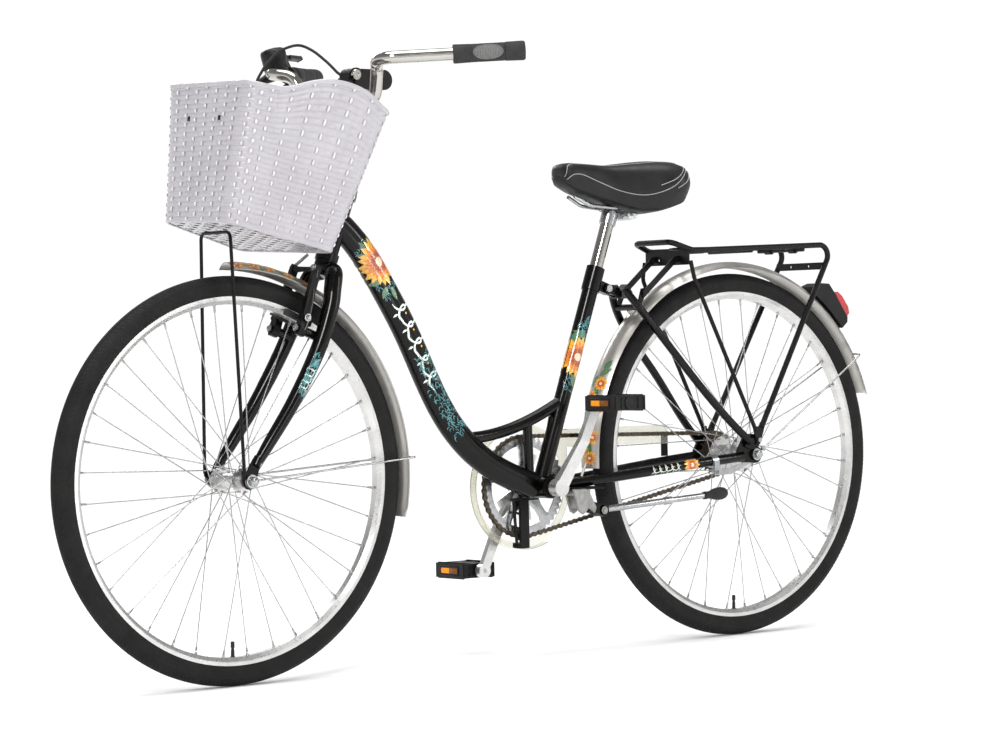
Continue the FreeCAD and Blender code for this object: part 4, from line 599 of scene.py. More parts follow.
def chain_points():
    """Pin positions all round the chain, one for each link."""
    first, second = Vector((crank_centre.x, 0, crank_centre.z)) / MM, Vector((rear_axle.x, 0,
                                                                              rear_axle.z)) / MM
    gap = second - first
    slope = math.atan2(gap.z, gap.x)
    spread = math.acos((RING_RADIUS - SPROCKET_RADIUS) / gap.length)
    straight = gap.length * math.sin(spread)
    ring_arc = RING_RADIUS * (2 * math.pi - 2 * spread)
    sprocket_arc = SPROCKET_RADIUS * 2 * spread
    total = 2 * straight + ring_arc + sprocket_arc

    def round_trip(reach):
        if reach < straight:
            turn, share = slope + spread, reach / straight
            side = radial(turn)
            return (first + side * RING_RADIUS) * (1 - share) + (second + side * SPROCKET_RADIUS) * share
        reach -= straight
        if reach < sprocket_arc:
            turn = slope + spread - reach / SPROCKET_RADIUS
            return second + radial(turn) * SPROCKET_RADIUS
        reach -= sprocket_arc
        if reach < straight:
            turn, share = slope - spread, reach / straight
            side = radial(turn)
            return (second + side * SPROCKET_RADIUS) * (1 - share) + (first + side * RING_RADIUS) * share
        turn = slope - spread - (reach - straight) / RING_RADIUS
        return first + radial(turn) * RING_RADIUS

    return [round_trip(total * i / CHAIN_LINKS) * MM for i in range(CHAIN_LINKS)]


def make_chain():
    shape = Shape()
    points = chain_points()
    for i, pin in enumerate(points):
        ahead = (points[(i + 1) % CHAIN_LINKS] - pin).normalized()
        across = ahead.cross(Y_AXIS)
        length = (points[(i + 1) % CHAIN_LINKS] - pin).length / MM
        near = 2.7 if i % 2 else 1.5
        for side in SIDES:
            base = pin + Y_AXIS * ((CHAIN_LINE + side * near) * MM)
            outline = []
            for end, start, waist in ((length, 0, PLATE_WAIST), (0, 180, -PLATE_WAIST)):
                for turn in range(-3, 4):
                    angle = math.radians(start + turn * 38)
                    outline.append((end + PLATE_RADIUS * math.cos(angle), PLATE_RADIUS * math.sin(angle)))
                outline.append((length / 2, waist))
            shape.rings([[base + (ahead * a + across * b) * MM + Y_AXIS * (side * depth * MM) for a,
                          b in outline]
                         for depth in (0.0, PLATE_THICK)])
        shape.lathe(pin + Y_AXIS * ((CHAIN_LINE - 3.8) * MM), Y_AXIS, [(0, 1.7), (7.6, 1.7)], 8)
        shape.lathe(pin + Y_AXIS * ((CHAIN_LINE - 1.4) * MM), Y_AXIS, [(0, 3.8), (2.8, 3.8)], 12)
    made = shape.piece("chain_links", "frame", "drive_steel", "drive_steel")
    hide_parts("chain")


make_chain()


def make_chainring():
    """A slim toothed ring on five arms."""
    shape = Shape()
    middle = Vector((crank_centre.x, CHAIN_LINE * MM, crank_centre.z))
    rings = []
    for i in range(RING_TEETH * 4):
        turn = 2 * math.pi * i / (RING_TEETH * 4)
        outward = radial(turn)
        tooth = (90.0, 93.5, 96.0, 93.5)[i % 4]
        rings.append([middle + outward * (radius * MM) + Y_AXIS * (depth * MM) for radius, depth in
                      ((76, -1.2), (90, -1.2), (tooth, -0.6), (tooth, 0.6), (90, 1.2), (76, 1.2))])
    shape.rings(rings, closed=True)
    for i in range(RING_ARMS):
        turn = math.radians(20 + 360 / RING_ARMS * i)
        outward = radial(turn)
        across = outward.cross(Y_AXIS)
        bars = []
        for reach, half, lift in ((16, 17, -3), (30, 14, -3), (50, 9, -2), (68, 9, -1), (78, 13, 0)):
            base = middle + outward * (reach * MM) + Y_AXIS * (lift * MM)
            bars.append([base + across * (a * half * MM) + Y_AXIS * (b * MM) for a, b in
                         ((-1, -1), (-0.7, -1.8), (0.7, -1.8), (1, -1), (1, 1), (-1, 1))])
        shape.rings(bars)
    shape.lathe(middle - Y_AXIS * (5 * MM), Y_AXIS, [(0, 20), (1, 22), (7, 22), (8, 20)], 40)
    made = shape.piece("chainring_with_arms", "cranks", "drive_steel", "bright_steel")
    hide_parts("chainring")


make_chainring()

# Kickstand: a cast bracket, a slim leg with its adjusting collar, and a rubber bulb


def make_kickstand():
    pivot = at(775, -54, 262)
    foot = middle_of("kickstand_foot")
    along = (foot - pivot).normalized()
    leg = Shape()
    leg.lathe(pivot, along, [(2, 7.0), (12, 7.0), (14, 6.4), (150, 6.0), (151, 7.4), (168, 7.4), (169, 5.6),
                             (250, 5.4)], 24)
    made = leg.piece("kickstand_rod", "kickstand", "bright_steel", "bright_steel")
    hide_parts("kickstand_leg")
    knuckle = Shape()
    knuckle.lathe(pivot - Y_AXIS * (8.5 * MM), Y_AXIS, [(0, 11), (1, 12), (16, 12), (17, 11)], 32)
    knuckle.lathe(pivot, along, [(4, 9.5), (11, 9.5), (12, 8.6)], 24)
    knuckle.piece("kickstand_knuckle", "kickstand", "bright_steel", "black_metal")
    bulb = Shape()
    bulb.lathe(pivot, along, [(246, 5.5), (246.5, 7.2), (252, 7.6), (258, 7.0), (264, 8.2), (272, 10.6),
                              (281, 12.2), (289, 12.2), (296, 10.6), (301, 7.4), (303.5, 3.0)], 32)
    made = bulb.piece("kickstand_bulb", "kickstand", "black_rubber", "black_rubber")
    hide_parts("kickstand_foot")
    cast = Shape()
    outline = [(699, 304), (729, 304), (739, 295), (747, 281), (754, 268), (750, 259), (741, 264), (734, 268),
               (729, 261), (722, 257), (713, 262), (706, 284)]
    for near, far in ((-71, -64.5), (-43.5, -39)):
        rings = []
        for right, inset in ((near, 0.95), (near + 1.5, 1.0), (far - 1.5, 1.0), (far, 0.95)):
            rings.append([at(728 + (back - 728) * inset, right, 280 + (up - 280) * inset) for back,
                          up in outline])
        cast.rings(rings)
    cast.box(at(722, -55, 297), (X_AXIS, Y_AXIS, Z_AXIS), (38, 30, 12), 2.0)
    cast.box(at(716, -54, 280), (X_AXIS, Y_AXIS, Z_AXIS), (12, 26, 24), 2.0)
    clamp = Shape()
    clamp.box(at(738, -42, 304), (X_AXIS, Y_AXIS, Z_AXIS), (78, 50, 4), 1.2)
    for right in (-65.5, -42.5):
        clamp.box(at(757, right, 267), (polar(1, -15) / MM, Y_AXIS, polar(1, 75) / MM), (40, 3, 20), 1.0)
        clamp.lathe(at(775, right - 1.5, 262), Y_AXIS, [(0, 11.5), (3, 11.5)], 32)
    made = clamp.piece("kickstand_clamp", "frame", "grey_cast", "black_metal")
    hex_bolt(cast, pivot - Y_AXIS * (13.5 * MM), -Y_AXIS, 5.0, 4)
    made = cast.piece("kickstand_casting", "frame", "grey_cast", "grey_cast")
    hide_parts("kickstand_bracket")


make_kickstand()

# Basket: bands woven over and under upright stakes, a rolled rim and a slotted floor

BASKET_TILT = 15.0
BASKET_HEIGHT = 240.0
BASKET_ROWS = 28
HOLE_HEIGHT, HOLE_SPREAD = 175.0, 48.0
FACE_STAKES = (8, 14, 12, 14)
STAKES = sum(FACE_STAKES)
RIM_WAVE = ((-40, -7), (-5, -5), (15, -2), (35, 6), (60, 20.5), (90, 33), (128, 38), (165, 32.5),
            (200, 15), (225, 9))
basket_origin = at(-59, 0, 790)
basket_lean = math.radians(2.6)
basket_back = polar(1, -BASKET_TILT) / MM
basket_up = polar(1, 90 - BASKET_TILT) / MM
basket_right = Y_AXIS * math.cos(basket_lean) + basket_up * math.sin(basket_lean)
basket_up = basket_up * math.cos(basket_lean) - Y_AXIS * math.sin(basket_lean)


def in_basket(back, right, up):
    return basket_origin + (basket_back * back + basket_right * right + basket_up * up) * MM


def basket_front(height):
    """Where the front wall stands at a height."""
    return -34 * height / BASKET_HEIGHT - 5


class BasketSection:
    """The basket's outline at a height, measured round it in stakes."""

    CORNER = 26.0

    def __init__(self, height):
        share = height / BASKET_HEIGHT
        front, rear = basket_front(height), 191 + 24 * share
        front_half, rear_half = 102 + 28 * share, 146 + 40 * share
        self.spots = [Vector(spot) for spot in (
            (front, -front_half), (front, front_half), (rear, rear_half), (rear, -rear_half))]

    def corner(self, i, share):
        """A point on the rounded corner, from 0 where it starts to 1 where it ends."""
        here = self.spots[i]
        start = here + (self.spots[i - 1] - here).normalized() * self.CORNER
        end = here + (self.spots[(i + 1) % 4] - here).normalized() * self.CORNER
        return start * (1 - share) ** 2 + here * 2 * share * (1 - share) + end * share ** 2

    def face_point(self, face, share):
        """A point from the middle of one corner to the middle of the next."""
        next_corner = (face + 1) % 4
        start, end = self.corner(face, 1.0), self.corner(next_corner, 0.0)
        straight = (end - start).length
        arc = self.CORNER * 0.81
        reach = share * (straight + 2 * arc)
        if reach < arc:
            return self.corner(face, 0.5 + 0.5 * reach / arc)
        if reach > arc + straight:
            return self.corner(next_corner, 0.5 * (reach - arc - straight) / arc)
        return start + (end - start) * ((reach - arc) / straight)

    def point(self, stakes):
        stakes %= STAKES
        for face, count in enumerate(FACE_STAKES):
            if stakes <= count:
                return self.face_point(face, stakes / count)
            stakes -= count
        return self.face_point(3, 1.0)


section_cache = {}


def basket_wall(stakes, share, out):
    """A point on the wall: stakes round it, share of the height up it, and millimetres out from it."""
    key = round(share, 5)
    if key not in section_cache:
        section_cache[key] = BasketSection(BASKET_HEIGHT * share)
    section = section_cache[key]
    spot = section.point(stakes)
    near = section.point(stakes + 0.05) - section.point(stakes - 0.05)
    outward = Vector((-near.y, near.x)).normalized()
    if outward.dot(spot - Vector((90, 0))) < 0:
        outward = -outward
    rise = between(RIM_WAVE, spot.x) * smooth_step(0.5, 1.0, share)
    return in_basket(spot.x + outward.x * out, spot.y + outward.y * out, BASKET_HEIGHT * share + rise)


def stake_shows(stake, row):
    """Whether an upright lies outside a band: every one at the front, every second one on the other sides."""
    if stake <= FACE_STAKES[0] + 1 or stake >= STAKES - 1 or stake % 2 == 0:
        return (stake + row) % 2 == 1
    return False


def weave_band(row):
    """One flat strand: it lies outside, and dips inside behind the uprights that show."""
    share = (row + 0.5) / BASKET_ROWS
    half = 0.5 / BASKET_ROWS
    rings = []
    for stake in range(STAKES):
        for step in (-0.34, -0.2, -0.1, 0.0, 0.1, 0.2, 0.34, 0.5):
            dips = stake_shows(stake, row)
            place = 1.0 - (2.3 * math.exp(-(step / 0.15) ** 2) if dips else 0.0)
            bulge = 0.35 * (1 + math.cos(math.pi * (step * 2 if not dips else 1)))
            stakes = stake + step
            outline = ((-1.1, 0.05), (-0.86, 0.55), (-0.4, 0.8 + 0.6 * bulge), (0.1, 0.9 + bulge),
                       (0.6, 0.75 + 0.5 * bulge), (0.9, 0.5), (1.1, 0.05), (0.0, -1.2))
            rings.append([basket_wall(stakes, share + half * up, place + out) for up, out in outline])
    return rings


def weave_stake(stake):
    """One upright: it stands proud where a band dips behind it."""
    rings = []
    width = 0.125 if stake >= FACE_STAKES[0] else 0.08
    for row in range(BASKET_ROWS):
        shows = stake_shows(stake, row)
        for part in (0.06, 0.22, 0.5, 0.78, 0.94):
            share = (row + part) / BASKET_ROWS
            out = (3.2 if 0.2 < part < 0.8 else 1.4) if shows else -1.7
            slim = width * (1.0 if part == 0.5 else 0.85)
            rings.append([
                basket_wall(stake - slim, share, out - 0.6),
                basket_wall(stake - slim * 0.5, share, out + 0.45),
                basket_wall(stake + slim * 0.5, share, out + 0.45),
                basket_wall(stake + slim, share, out - 0.6),
                basket_wall(stake, share, out - 1.6),
            ])
    return rings


def make_basket_walls():
    shape = Shape()
    for row in range(BASKET_ROWS):
        shape.rings(weave_band(row), closed=True)
    made = shape.piece("basket_weave", "steering", "basket_plastic", "basket_plastic")
    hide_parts("basket")
    uprights = Shape()
    for stake in range(STAKES):
        uprights.rings(weave_stake(stake))
    # The uprights take the paler copy of the basket plastic, which paints a highlight on them.
    uprights.piece("basket_stakes", "steering", "basket_plastic", "basket_light")
    rim = Shape()
    outline = [(0.982, -1.8), (0.975, 1.5), (0.978, 3.4), (0.992, 4.6), (1.006, 4.2), (1.014, 2.2),
               (1.014, -0.6), (1.004, -2.4)]
    steps = 4
    rim.rings([[basket_wall(i / steps, share, out) for share, out in outline] for i in range(STAKES * steps)],
              closed=True)
    lip = [(0.0, -2.0), (-0.004, 1.0), (0.004, 2.8), (0.02, 2.6), (0.026, 0.4), (0.016, -2.0)]
    rim.rings([[basket_wall(i / steps, share, out) for share, out in lip] for i in range(STAKES * steps)],
              closed=True)
    rim.piece("basket_rim", "steering", "basket_plastic", "basket_plastic")


def make_basket_floor():
    """Flat strips across and along, over and under, with slots between them, and the two holes in front."""
    shape = Shape()

    def half_width(back):
        return 102 + 44 * back / 187 - 4

    strip, row = 12.2, 0
    back = 7.0
    while back < 186:
        reach = half_width(back) - (8 if back < 12 or back > 180 else 0)
        rings = []
        steps = int(reach // 7)
        for i in range(-steps, steps + 1):
            right = reach * i / steps
            lift = 2.2 + 0.9 * math.sin(math.pi * right / 26 + math.pi * row)
            rings.append([in_basket(back - 3.9, right, lift), in_basket(back, right, lift + 0.9),
                          in_basket(back + 3.9, right, lift), in_basket(back, right, lift - 1.1)])
        shape.rings(rings)
        back += strip
        row += 1
    for column in range(-5, 6):
        right = column * 26.0
        start = 1.0 if abs(right) < 94 else 1 + (abs(right) - 94) * 187 / 44
        if start > 150:
            continue
        rings = []
        count = 46
        for i in range(count + 1):
            back = start + (188 - start) * i / count
            phase = math.pi * (back - 7.0) / strip
            lift = 2.2 - 0.9 * math.cos(phase) * (1 if column % 2 else -1)
            rings.append([in_basket(back, right - 5.5, lift), in_basket(back, right, lift + 0.9),
                          in_basket(back, right + 5.5, lift), in_basket(back, right, lift - 1.0)])
        shape.rings(rings)
    shape.piece("basket_floor", "steering", "basket_plastic", "basket_plastic")
    holes = Shape()
    lean = (in_basket(basket_front(BASKET_HEIGHT), 0, BASKET_HEIGHT) - in_basket(basket_front(0), 0,
                                                                                 0)).normalized()
    forward = lean.cross(basket_right).normalized()
    forward = forward if forward.x < 0 else -forward
    dark = Shape()
    for side in SIDES:
        middle = in_basket(basket_front(HOLE_HEIGHT), side * HOLE_SPREAD, HOLE_HEIGHT)
        dark.box(middle + forward * (2.4 * MM), (forward, basket_right, lean), (1.6, 8.6, 9), 0.2)
        for across, up, wide, tall in ((0, 5, 12, 1.6), (0, -5, 12, 1.6), (5.2, 0, 1.6, 9),
                                       (-5.2, 0, 1.6, 9)):
            holes.box(middle + basket_right * (across * MM) + lean * (up * MM) + forward * (2.2 * MM),
                      (forward, basket_right, lean), (2.4, wide, tall), 0.4)
    holes.piece("basket_hole_frames", "steering", "basket_plastic", "basket_plastic")
    dark.piece("basket_hole_shadows", "steering", "black_plastic", "black_plastic")


make_basket_walls()
make_basket_floor()

# Saddle: a padded skin over the base, with piping along its seams

SADDLE_STATIONS = (
    (736, 10, 893, 882), (738, 20, 900, 874), (745, 28, 906, 866), (762, 31, 908, 858), (788, 34, 907, 850),
    (835, 44, 905, 836), (885, 74, 910, 821), (925, 99, 914, 820), (955, 105, 913, 827), (974, 99, 909, 834),
    (985, 87, 901, 844), (989, 72, 890, 856),
)
SADDLE_WIDTH = ((0, 0.84), (0.14, 1.0), (0.3, 0.8), (0.5, 0.0), (0.7, -0.8))
SADDLE_LIFT = ((0, 0.0), (0.14, 0.44), (0.3, 0.88), (0.5, 0.985), (0.7, 0.88))


def saddle_station(share):
    """Place, half width, top and skirt at a share of the way from nose to tail."""
    reach = share * (len(SADDLE_STATIONS) - 1)
    i = min(int(reach), len(SADDLE_STATIONS) - 2)
    t = reach - i
    rows = [Vector(SADDLE_STATIONS[max(0, min(k, len(SADDLE_STATIONS) - 1))]) for k in (i - 1, i, i + 1,
                                                                                        i + 2)]
    return catmull_rom(*rows, t)


def saddle_point(share, across, out=0.0):
    """A point on the skin; across runs from 0 at the left skirt through 0.5 on top to 1 at the right."""
    back, half, top, skirt = saddle_station(share)
    side = LEFT if across < 0.5 else RIGHT
    reach = across if across < 0.5 else 1 - across
    width = between(SADDLE_WIDTH, reach)
    lift = between(SADDLE_LIFT, reach)
    puff = 1.0 * math.sin(math.pi * min(1.0, reach / 0.3)) + out
    middle = Vector((0, side * math.cos(reach * math.pi), math.sin(reach * math.pi)))
    point = at(back, side * half * width, skirt + (top - skirt) * lift)
    return point + middle * (puff * MM)


def make_saddle():
    shape = Shape()
    count, around = 60, 36
    rings = []
    for i in range(count + 1):
        share = i / count
        ring = [saddle_point(share, j / around) for j in range(around + 1)]
        back, half, top, skirt = saddle_station(share)
        for side, scale in ((RIGHT, 0.8), (RIGHT, 0.7), (LEFT, 0.7), (LEFT, 0.8)):
            ring.append(at(back, side * half * scale, skirt + (0.4 if scale > 0.75 else 2.5)))
        rings.append(ring)
    shape.rings(rings)
    made = shape.piece("saddle_skin", "frame", "saddle_skin", "saddle_skin", level=1)
    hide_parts("saddle_cover")
    lines = (
        ((0.07, 0.06), (0.13, 0.26), (0.2, 0.33), (0.32, 0.35), (0.45, 0.37), (0.6, 0.36), (0.78, 0.35),
         (0.9, 0.37)),
        ((0.12, 0.04), (0.2, 0.14), (0.3, 0.17), (0.4, 0.13), (0.48, 0.09), (0.56, 0.09), (0.66, 0.14),
         (0.78, 0.24),
         (0.9, 0.33)),
        ((0.6, 0.15), (0.7, 0.2), (0.8, 0.29), (0.88, 0.35)),
        ((0.68, 0.12), (0.78, 0.17), (0.88, 0.26), (0.94, 0.33)),
    )
    piping = Shape()
    for line in lines:
        for side in SIDES:
            points = [Vector((share, across if side == LEFT else 1 - across, 0)) for share, across in line]
            route = [saddle_point(spot.x, spot.y, 0.35) for spot in curve_through(points, 8)]
            piping.tube(route, 0.75, 8)
    piping.piece("saddle_piping", "frame", "saddle_skin", "piping_grey")


def make_saddle_base():
    """The moulded shell under the skin, with its rim tucked inside the skirt."""
    rings = []
    for i in range(31):
        share = 0.03 + 0.94 * i / 30
        back, half, top, skirt = saddle_station(share)
        depth = 5 + 7 * math.sin(math.pi * i / 30)
        ring = []
        for j in range(17):
            across = -1 + 2 * j / 16
            ring.append(at(back, half * 0.86 * across, skirt + 4 - depth * (1 - across ** 2) ** 0.5))
        ring += [at(back, half * 0.6, skirt + 8), at(back, -half * 0.6, skirt + 8)]
        rings.append(ring)
    shape = Shape()
    shape.rings(rings)
    made = shape.piece("saddle_shell", "frame", "black_plastic", "black_plastic")
    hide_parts("saddle_base")


make_saddle_base()
make_saddle()

# Handlebar: grips and their ribbed pads


def make_grips():
    shape = Shape()
    pads = Shape()
    for side in SIDES:
        end = at(409, side * 311, 1076)
        along = (end - at(204, side * 166, 1066)).normalized()
        radius = 16.0
        start = end - along * (121 * MM)
        profile = [(0, 11.3), (0, 15.2), (1, 16.4), (3, 16.6), (30, 16.0), (31, 15.3), (32, 16.0)]
        profile += [(36 + 2 * i, 16.1 if i % 2 else 15.7) for i in range(3)]
        profile += [(50, 15.9), (70, 15.8), (88, 15.9), (89, 15.2), (90, 16.4), (118, 16.9), (122, 16.6),
                    (124, 14.6), (124.6, 9)]
        shape.lathe(start, along, profile, 48)
        outward = Vector((-0.575, side * 0.814, 0))
        outward = (outward - along * outward.dot(along)).normalized()
        upward = along.cross(outward)

        def on_grip(reach, turn, lift):
            angle = math.radians(turn)
            return start + along * (reach * MM) + (outward * math.cos(angle) + upward * math.sin(angle)) * (
                (radius + lift) * MM)

        middle, half_long, half_turn = 60.0, 25.0, 46.0
        plate = []
        for i in range(25):
            share = -1 + 2 * i / 24
            width = half_turn * math.sqrt(max(0.0, 1 - (share * 0.999) ** 2))
            plate.append([on_grip(middle + share * half_long, width * k / 6, 0.45) for k in range(-6, 7)])
        pads.rings(plate, around=False)
        border = []
        for i in range(48):
            turn = 2 * math.pi * i / 48
            border.append(on_grip(middle + half_long * math.cos(turn), half_turn * math.sin(turn), 0.3))
        pads.tube(border, 1.1, 8, closed=True)
        for i in range(-5, 6):
            share = i / 5.6
            width = half_turn * 0.86 * math.sqrt(1 - share ** 2)
            rib = [on_grip(middle + share * half_long, width * k / 8, 0.6) for k in range(-8, 9)]
            pads.tube(rib, 0.9, 6)
    made = shape.piece("grip_sleeves", "steering", "black_rubber", "grip_grey")
    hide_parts("handlebar_grips")
    pads.piece("grip_pads", "steering", "black_rubber", "grip_pad")


make_grips()

# Front brake: noodle boot, springs and bolts

steering_up = polar(1, 69) / MM
steering_forward = polar(1, 159) / MM
headset = at(208, 0, 730)


def on_steering(up, forward=0, right=0):
    return headset + (steering_up * up + steering_forward * forward + Y_AXIS * right) * MM


def make_brake_details():
    boot = Shape()
    profile = [(0, 3.0)]
    for i in range(9):
        profile += [(1.5 + 5.2 * i, 5.6 - 0.22 * i), (4.1 + 5.2 * i, 4.0 - 0.2 * i)]
    profile += [(50, 2.0)]
    boot.lathe(on_steering(-34, 36, 31), -Y_AXIS, profile, 24)
    boot.piece("brake_boot", "right_brake", "black_rubber", "black_rubber")
    wire = Shape()
    wire.tube([on_steering(-34, 36, 0), on_steering(-34, 36, -34), on_steering(-38, 38, -43),
               on_steering(-52, 40, -49)], 0.8, 8)
    hex_bolt(wire, on_steering(-34, 43, -35), steering_forward, 4.2, 4)
    wire.piece("brake_inner_wire", "left_brake", "bright_steel", "bright_steel")
    for name, side in (("left", LEFT), ("right", RIGHT)):
        bolts = Shape()
        hex_bolt(bolts, on_steering(-125, 36, side * 52), Y_AXIS * side, 4.6, 4.5)
        spring = [on_steering(-147, 34, side * 50), on_steering(-125, 33, side * 52),
                  on_steering(-95, 33, side * 48), on_steering(-72, 35, side * 43.5)]
        bolts.tube(curve_through(spring, 5), 0.8, 8)
        bolts.piece(f"{name}_brake_fittings", f"{name}_brake", "bright_steel", "bright_steel")
    studs = Shape()
    for side in SIDES:
        hex_bolt(studs, on_steering(-147, 47, side * 40), steering_forward, 4.4, 3.2)
    studs.piece("brake_stud_bolts", "steering", "bright_steel", "bright_steel")


make_brake_details()

# Handlebar: the brake cable's arch, the lever's housing and the stem's bolt


def make_cable():
    route = [at(224, 214, 1050), at(196, 188, 1052), at(207, 187, 1072), at(222, 186, 1091),
             at(242, 180, 1109),
             at(269, 165, 1119), at(278, 135, 1109), at(287, 105, 1088), at(296, 84, 1067), at(301, 66, 1047),
             at(262, 52, 1000), at(242, 44, 960), at(235, 38, 900), at(228, 40, 850), at(216, 44, 806),
             at(206, 46, 760), at(202, 47, 742)]
    shape = Shape()
    shape.tube(curve_through(route, 10), 2.6, 16)
    made = shape.piece("brake_cable_housing", "steering", "black_rubber", "black_rubber")
    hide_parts("brake_cable")


def make_lever_housing():
    shape = Shape()
    base = at(262, 220, 1072)
    axis = Vector((-0.22, 0.0, 1)).normalized()
    shape.lathe(base, axis, [(-10, 14), (-8, 19), (0, 20.5), (2, 21.5), (34, 23.5), (40, 23), (44, 20),
                             (46.5, 14), (47.5, 5)], 48)
    shape.lathe(base, axis, [(8, 21.8), (9, 23.4), (12, 23.6), (13, 22.2)], 48, caps=False)
    shape.tube([at(258, 218, 1070), at(240, 220, 1062), at(224, 222, 1055)], [11, 9, 5.5], 20)
    shape.piece("lever_housing", "steering", "black_plastic", "black_plastic")
    dial = Shape()
    hub = at(265, -20.5, 1052)
    dial.lathe(hub, -Y_AXIS, [(-2, 9.4), (2.2, 9.4), (3.4, 8.2), (3.4, 3.4), (2.0, 3.2), (2.0, 0.5)], 40)
    dial.piece("stem_bolt", "steering", "chrome", "chrome")


def make_fork_blades():
    """The blades' full outer shape, over their cores, by side."""
    blades = {}
    for side in SIDES:
        route = [at(206, side * 14, 706), at(203, side * 26, 705), at(197, side * 36, 697),
                 at(190, side * 42, 678),
                 at(179, side * 48, 640), at(147, side * 54.5, 570), at(94, side * 57, 485),
                 at(44, side * 57, 418), at(18, side * 57, 384)]
        line = curve_through(route, 8)
        radii = [between(((0, 14), (0.12, 15.5), (0.35, 15.6), (0.6, 14), (0.8, 11.8), (0.95, 9.6), (1, 8)),
                         i / (len(line) - 1)) for i in range(len(line))]
        shape = Shape()
        shape.tube(line, radii, 32)
        name = "left" if side == LEFT else "right"
        blades[name] = shape.piece(f"fork_blade_{name}", "steering", "frame_paint", "frame_paint")
    return blades


make_cable()
make_lever_housing()
blades = make_fork_blades()

# Front mudguard: rolled sheet with turned edges

GUARD_RADIUS = 373.0
GUARD_START, GUARD_END = -12.5, 90.5


def make_front_mudguard():
    rings = []
    for i in range(121):
        degrees = GUARD_START + (GUARD_END - GUARD_START) * i / 120
        outward = polar(1, degrees) / MM
        trim = 1 - 0.12 * smooth_step(GUARD_END - 2.5, GUARD_END, degrees)
        trim -= 0.2 * (1 - smooth_step(GUARD_START, GUARD_START + 2.5, degrees))
        ring = []
        for depth in (0.0, -1.2):
            turns = [k / 14 for k in range(-14, 15)]
            for turn in (turns if depth == 0.0 else turns[::-1]):
                drop = 12 * abs(turn) ** 2.2
                reach = GUARD_RADIUS + 0.5 - drop + depth
                ring.append(front_axle + outward * (reach * MM) + Y_AXIS * (22.5 * trim * turn * MM))
        rings.append(ring)
    shape = Shape()
    shape.rings(rings)
    for side in SIDES:
        turns = [GUARD_START + (GUARD_END - GUARD_START) * i / 100 for i in range(101)]
        edge = [front_axle + polar(361.2, turn) + Y_AXIS * (side * 22.3 * MM) for turn in turns]
        shape.tube(edge[2:-2], 1.1, 8)
    made = shape.piece("front_mudguard_sheet", "steering", "silver_guard", "silver_guard")
    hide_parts("front_mudguard")
    return made


front_guard = make_front_mudguard()

# Pedals: reflectors, end lattice and grip teeth


def make_pedal_details(name, side):
    low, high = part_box(name)
    middle = (low + high) / 2
    half = (high - low) / 2 / MM
    black, lens, dark = Shape(), Shape(), Shape()
    axes = (X_AXIS, Y_AXIS, Z_AXIS)
    for face in (-1, 1):
        front = middle + X_AXIS * (face * half.x * MM)
        for end in (-1, 1):
            black.box(front + Vector((face * 0.5, 0, end * 8.6)) * MM, axes, (1.6, 52, 2.2), 0.4)
            black.box(front + Vector((face * 0.5, end * 26, 0)) * MM, axes, (1.6, 2.2, 19), 0.4)
        # One half of each reflector face takes the darker amber, which is painted shade.
        for reflector, right in ((lens, 12.0), (dark, -12.0)):
            reflector.box(front + Vector((face * 0.6, right, 0)) * MM, axes, (1.6, 24, 10), 0.5)
        for i in range(-6, 7):
            for up in (-1, 1):
                tooth = middle + Vector((face * (half.x - 4), i * 6.0, up * (half.z + 0.5))) * MM
                black.box(tooth, axes, (6, 2.6, 2.4), 0.5)
    for end in (-1, 1):
        wall = middle + Y_AXIS * (end * half.y * MM)
        for back in (-34, -20, 20, 34):
            black.box(wall + Vector((back, end * 0.6, 0)) * MM, axes, (2.4, 2.4, 25), 0.4)
        for up in (-11.4, 0, 11.4):
            black.box(wall + Vector((0, end * 0.5, up)) * MM, axes, (70, 2.2, 2.4), 0.4)
    out = Y_AXIS * side
    cap_at = middle + out * (half.y * MM)
    black.lathe(cap_at, out, [(0, 12.6), (2.2, 12.6), (3.2, 11.6), (3.2, 9.8), (2.6, 9.4), (2.8, 4),
                              (3.4, 0.5)], 40)
    black.piece(f"{name}_cage", f"{name}_body", "black_plastic", "black_plastic")
    lens.piece(f"{name}_reflectors", f"{name}_body", "red_lens", "amber_lens")
    dark.piece(f"{name}_reflector_painted_shade", f"{name}_body", "red_lens", "dark_amber_lens")


make_pedal_details("left_pedal", LEFT)
make_pedal_details("right_pedal", RIGHT)

# Decals: flowers and leaves laid on the tubes and the mudguards

INKS = ("ink_yellow", "ink_orange", "ink_rust", "ink_cream", "ink_teal", "ink_green", "ink_white")
YELLOW, ORANGE, RUST, CREAM, TEAL, GREEN, WHITE = range(7)
DECAL_LIFT = 0.25


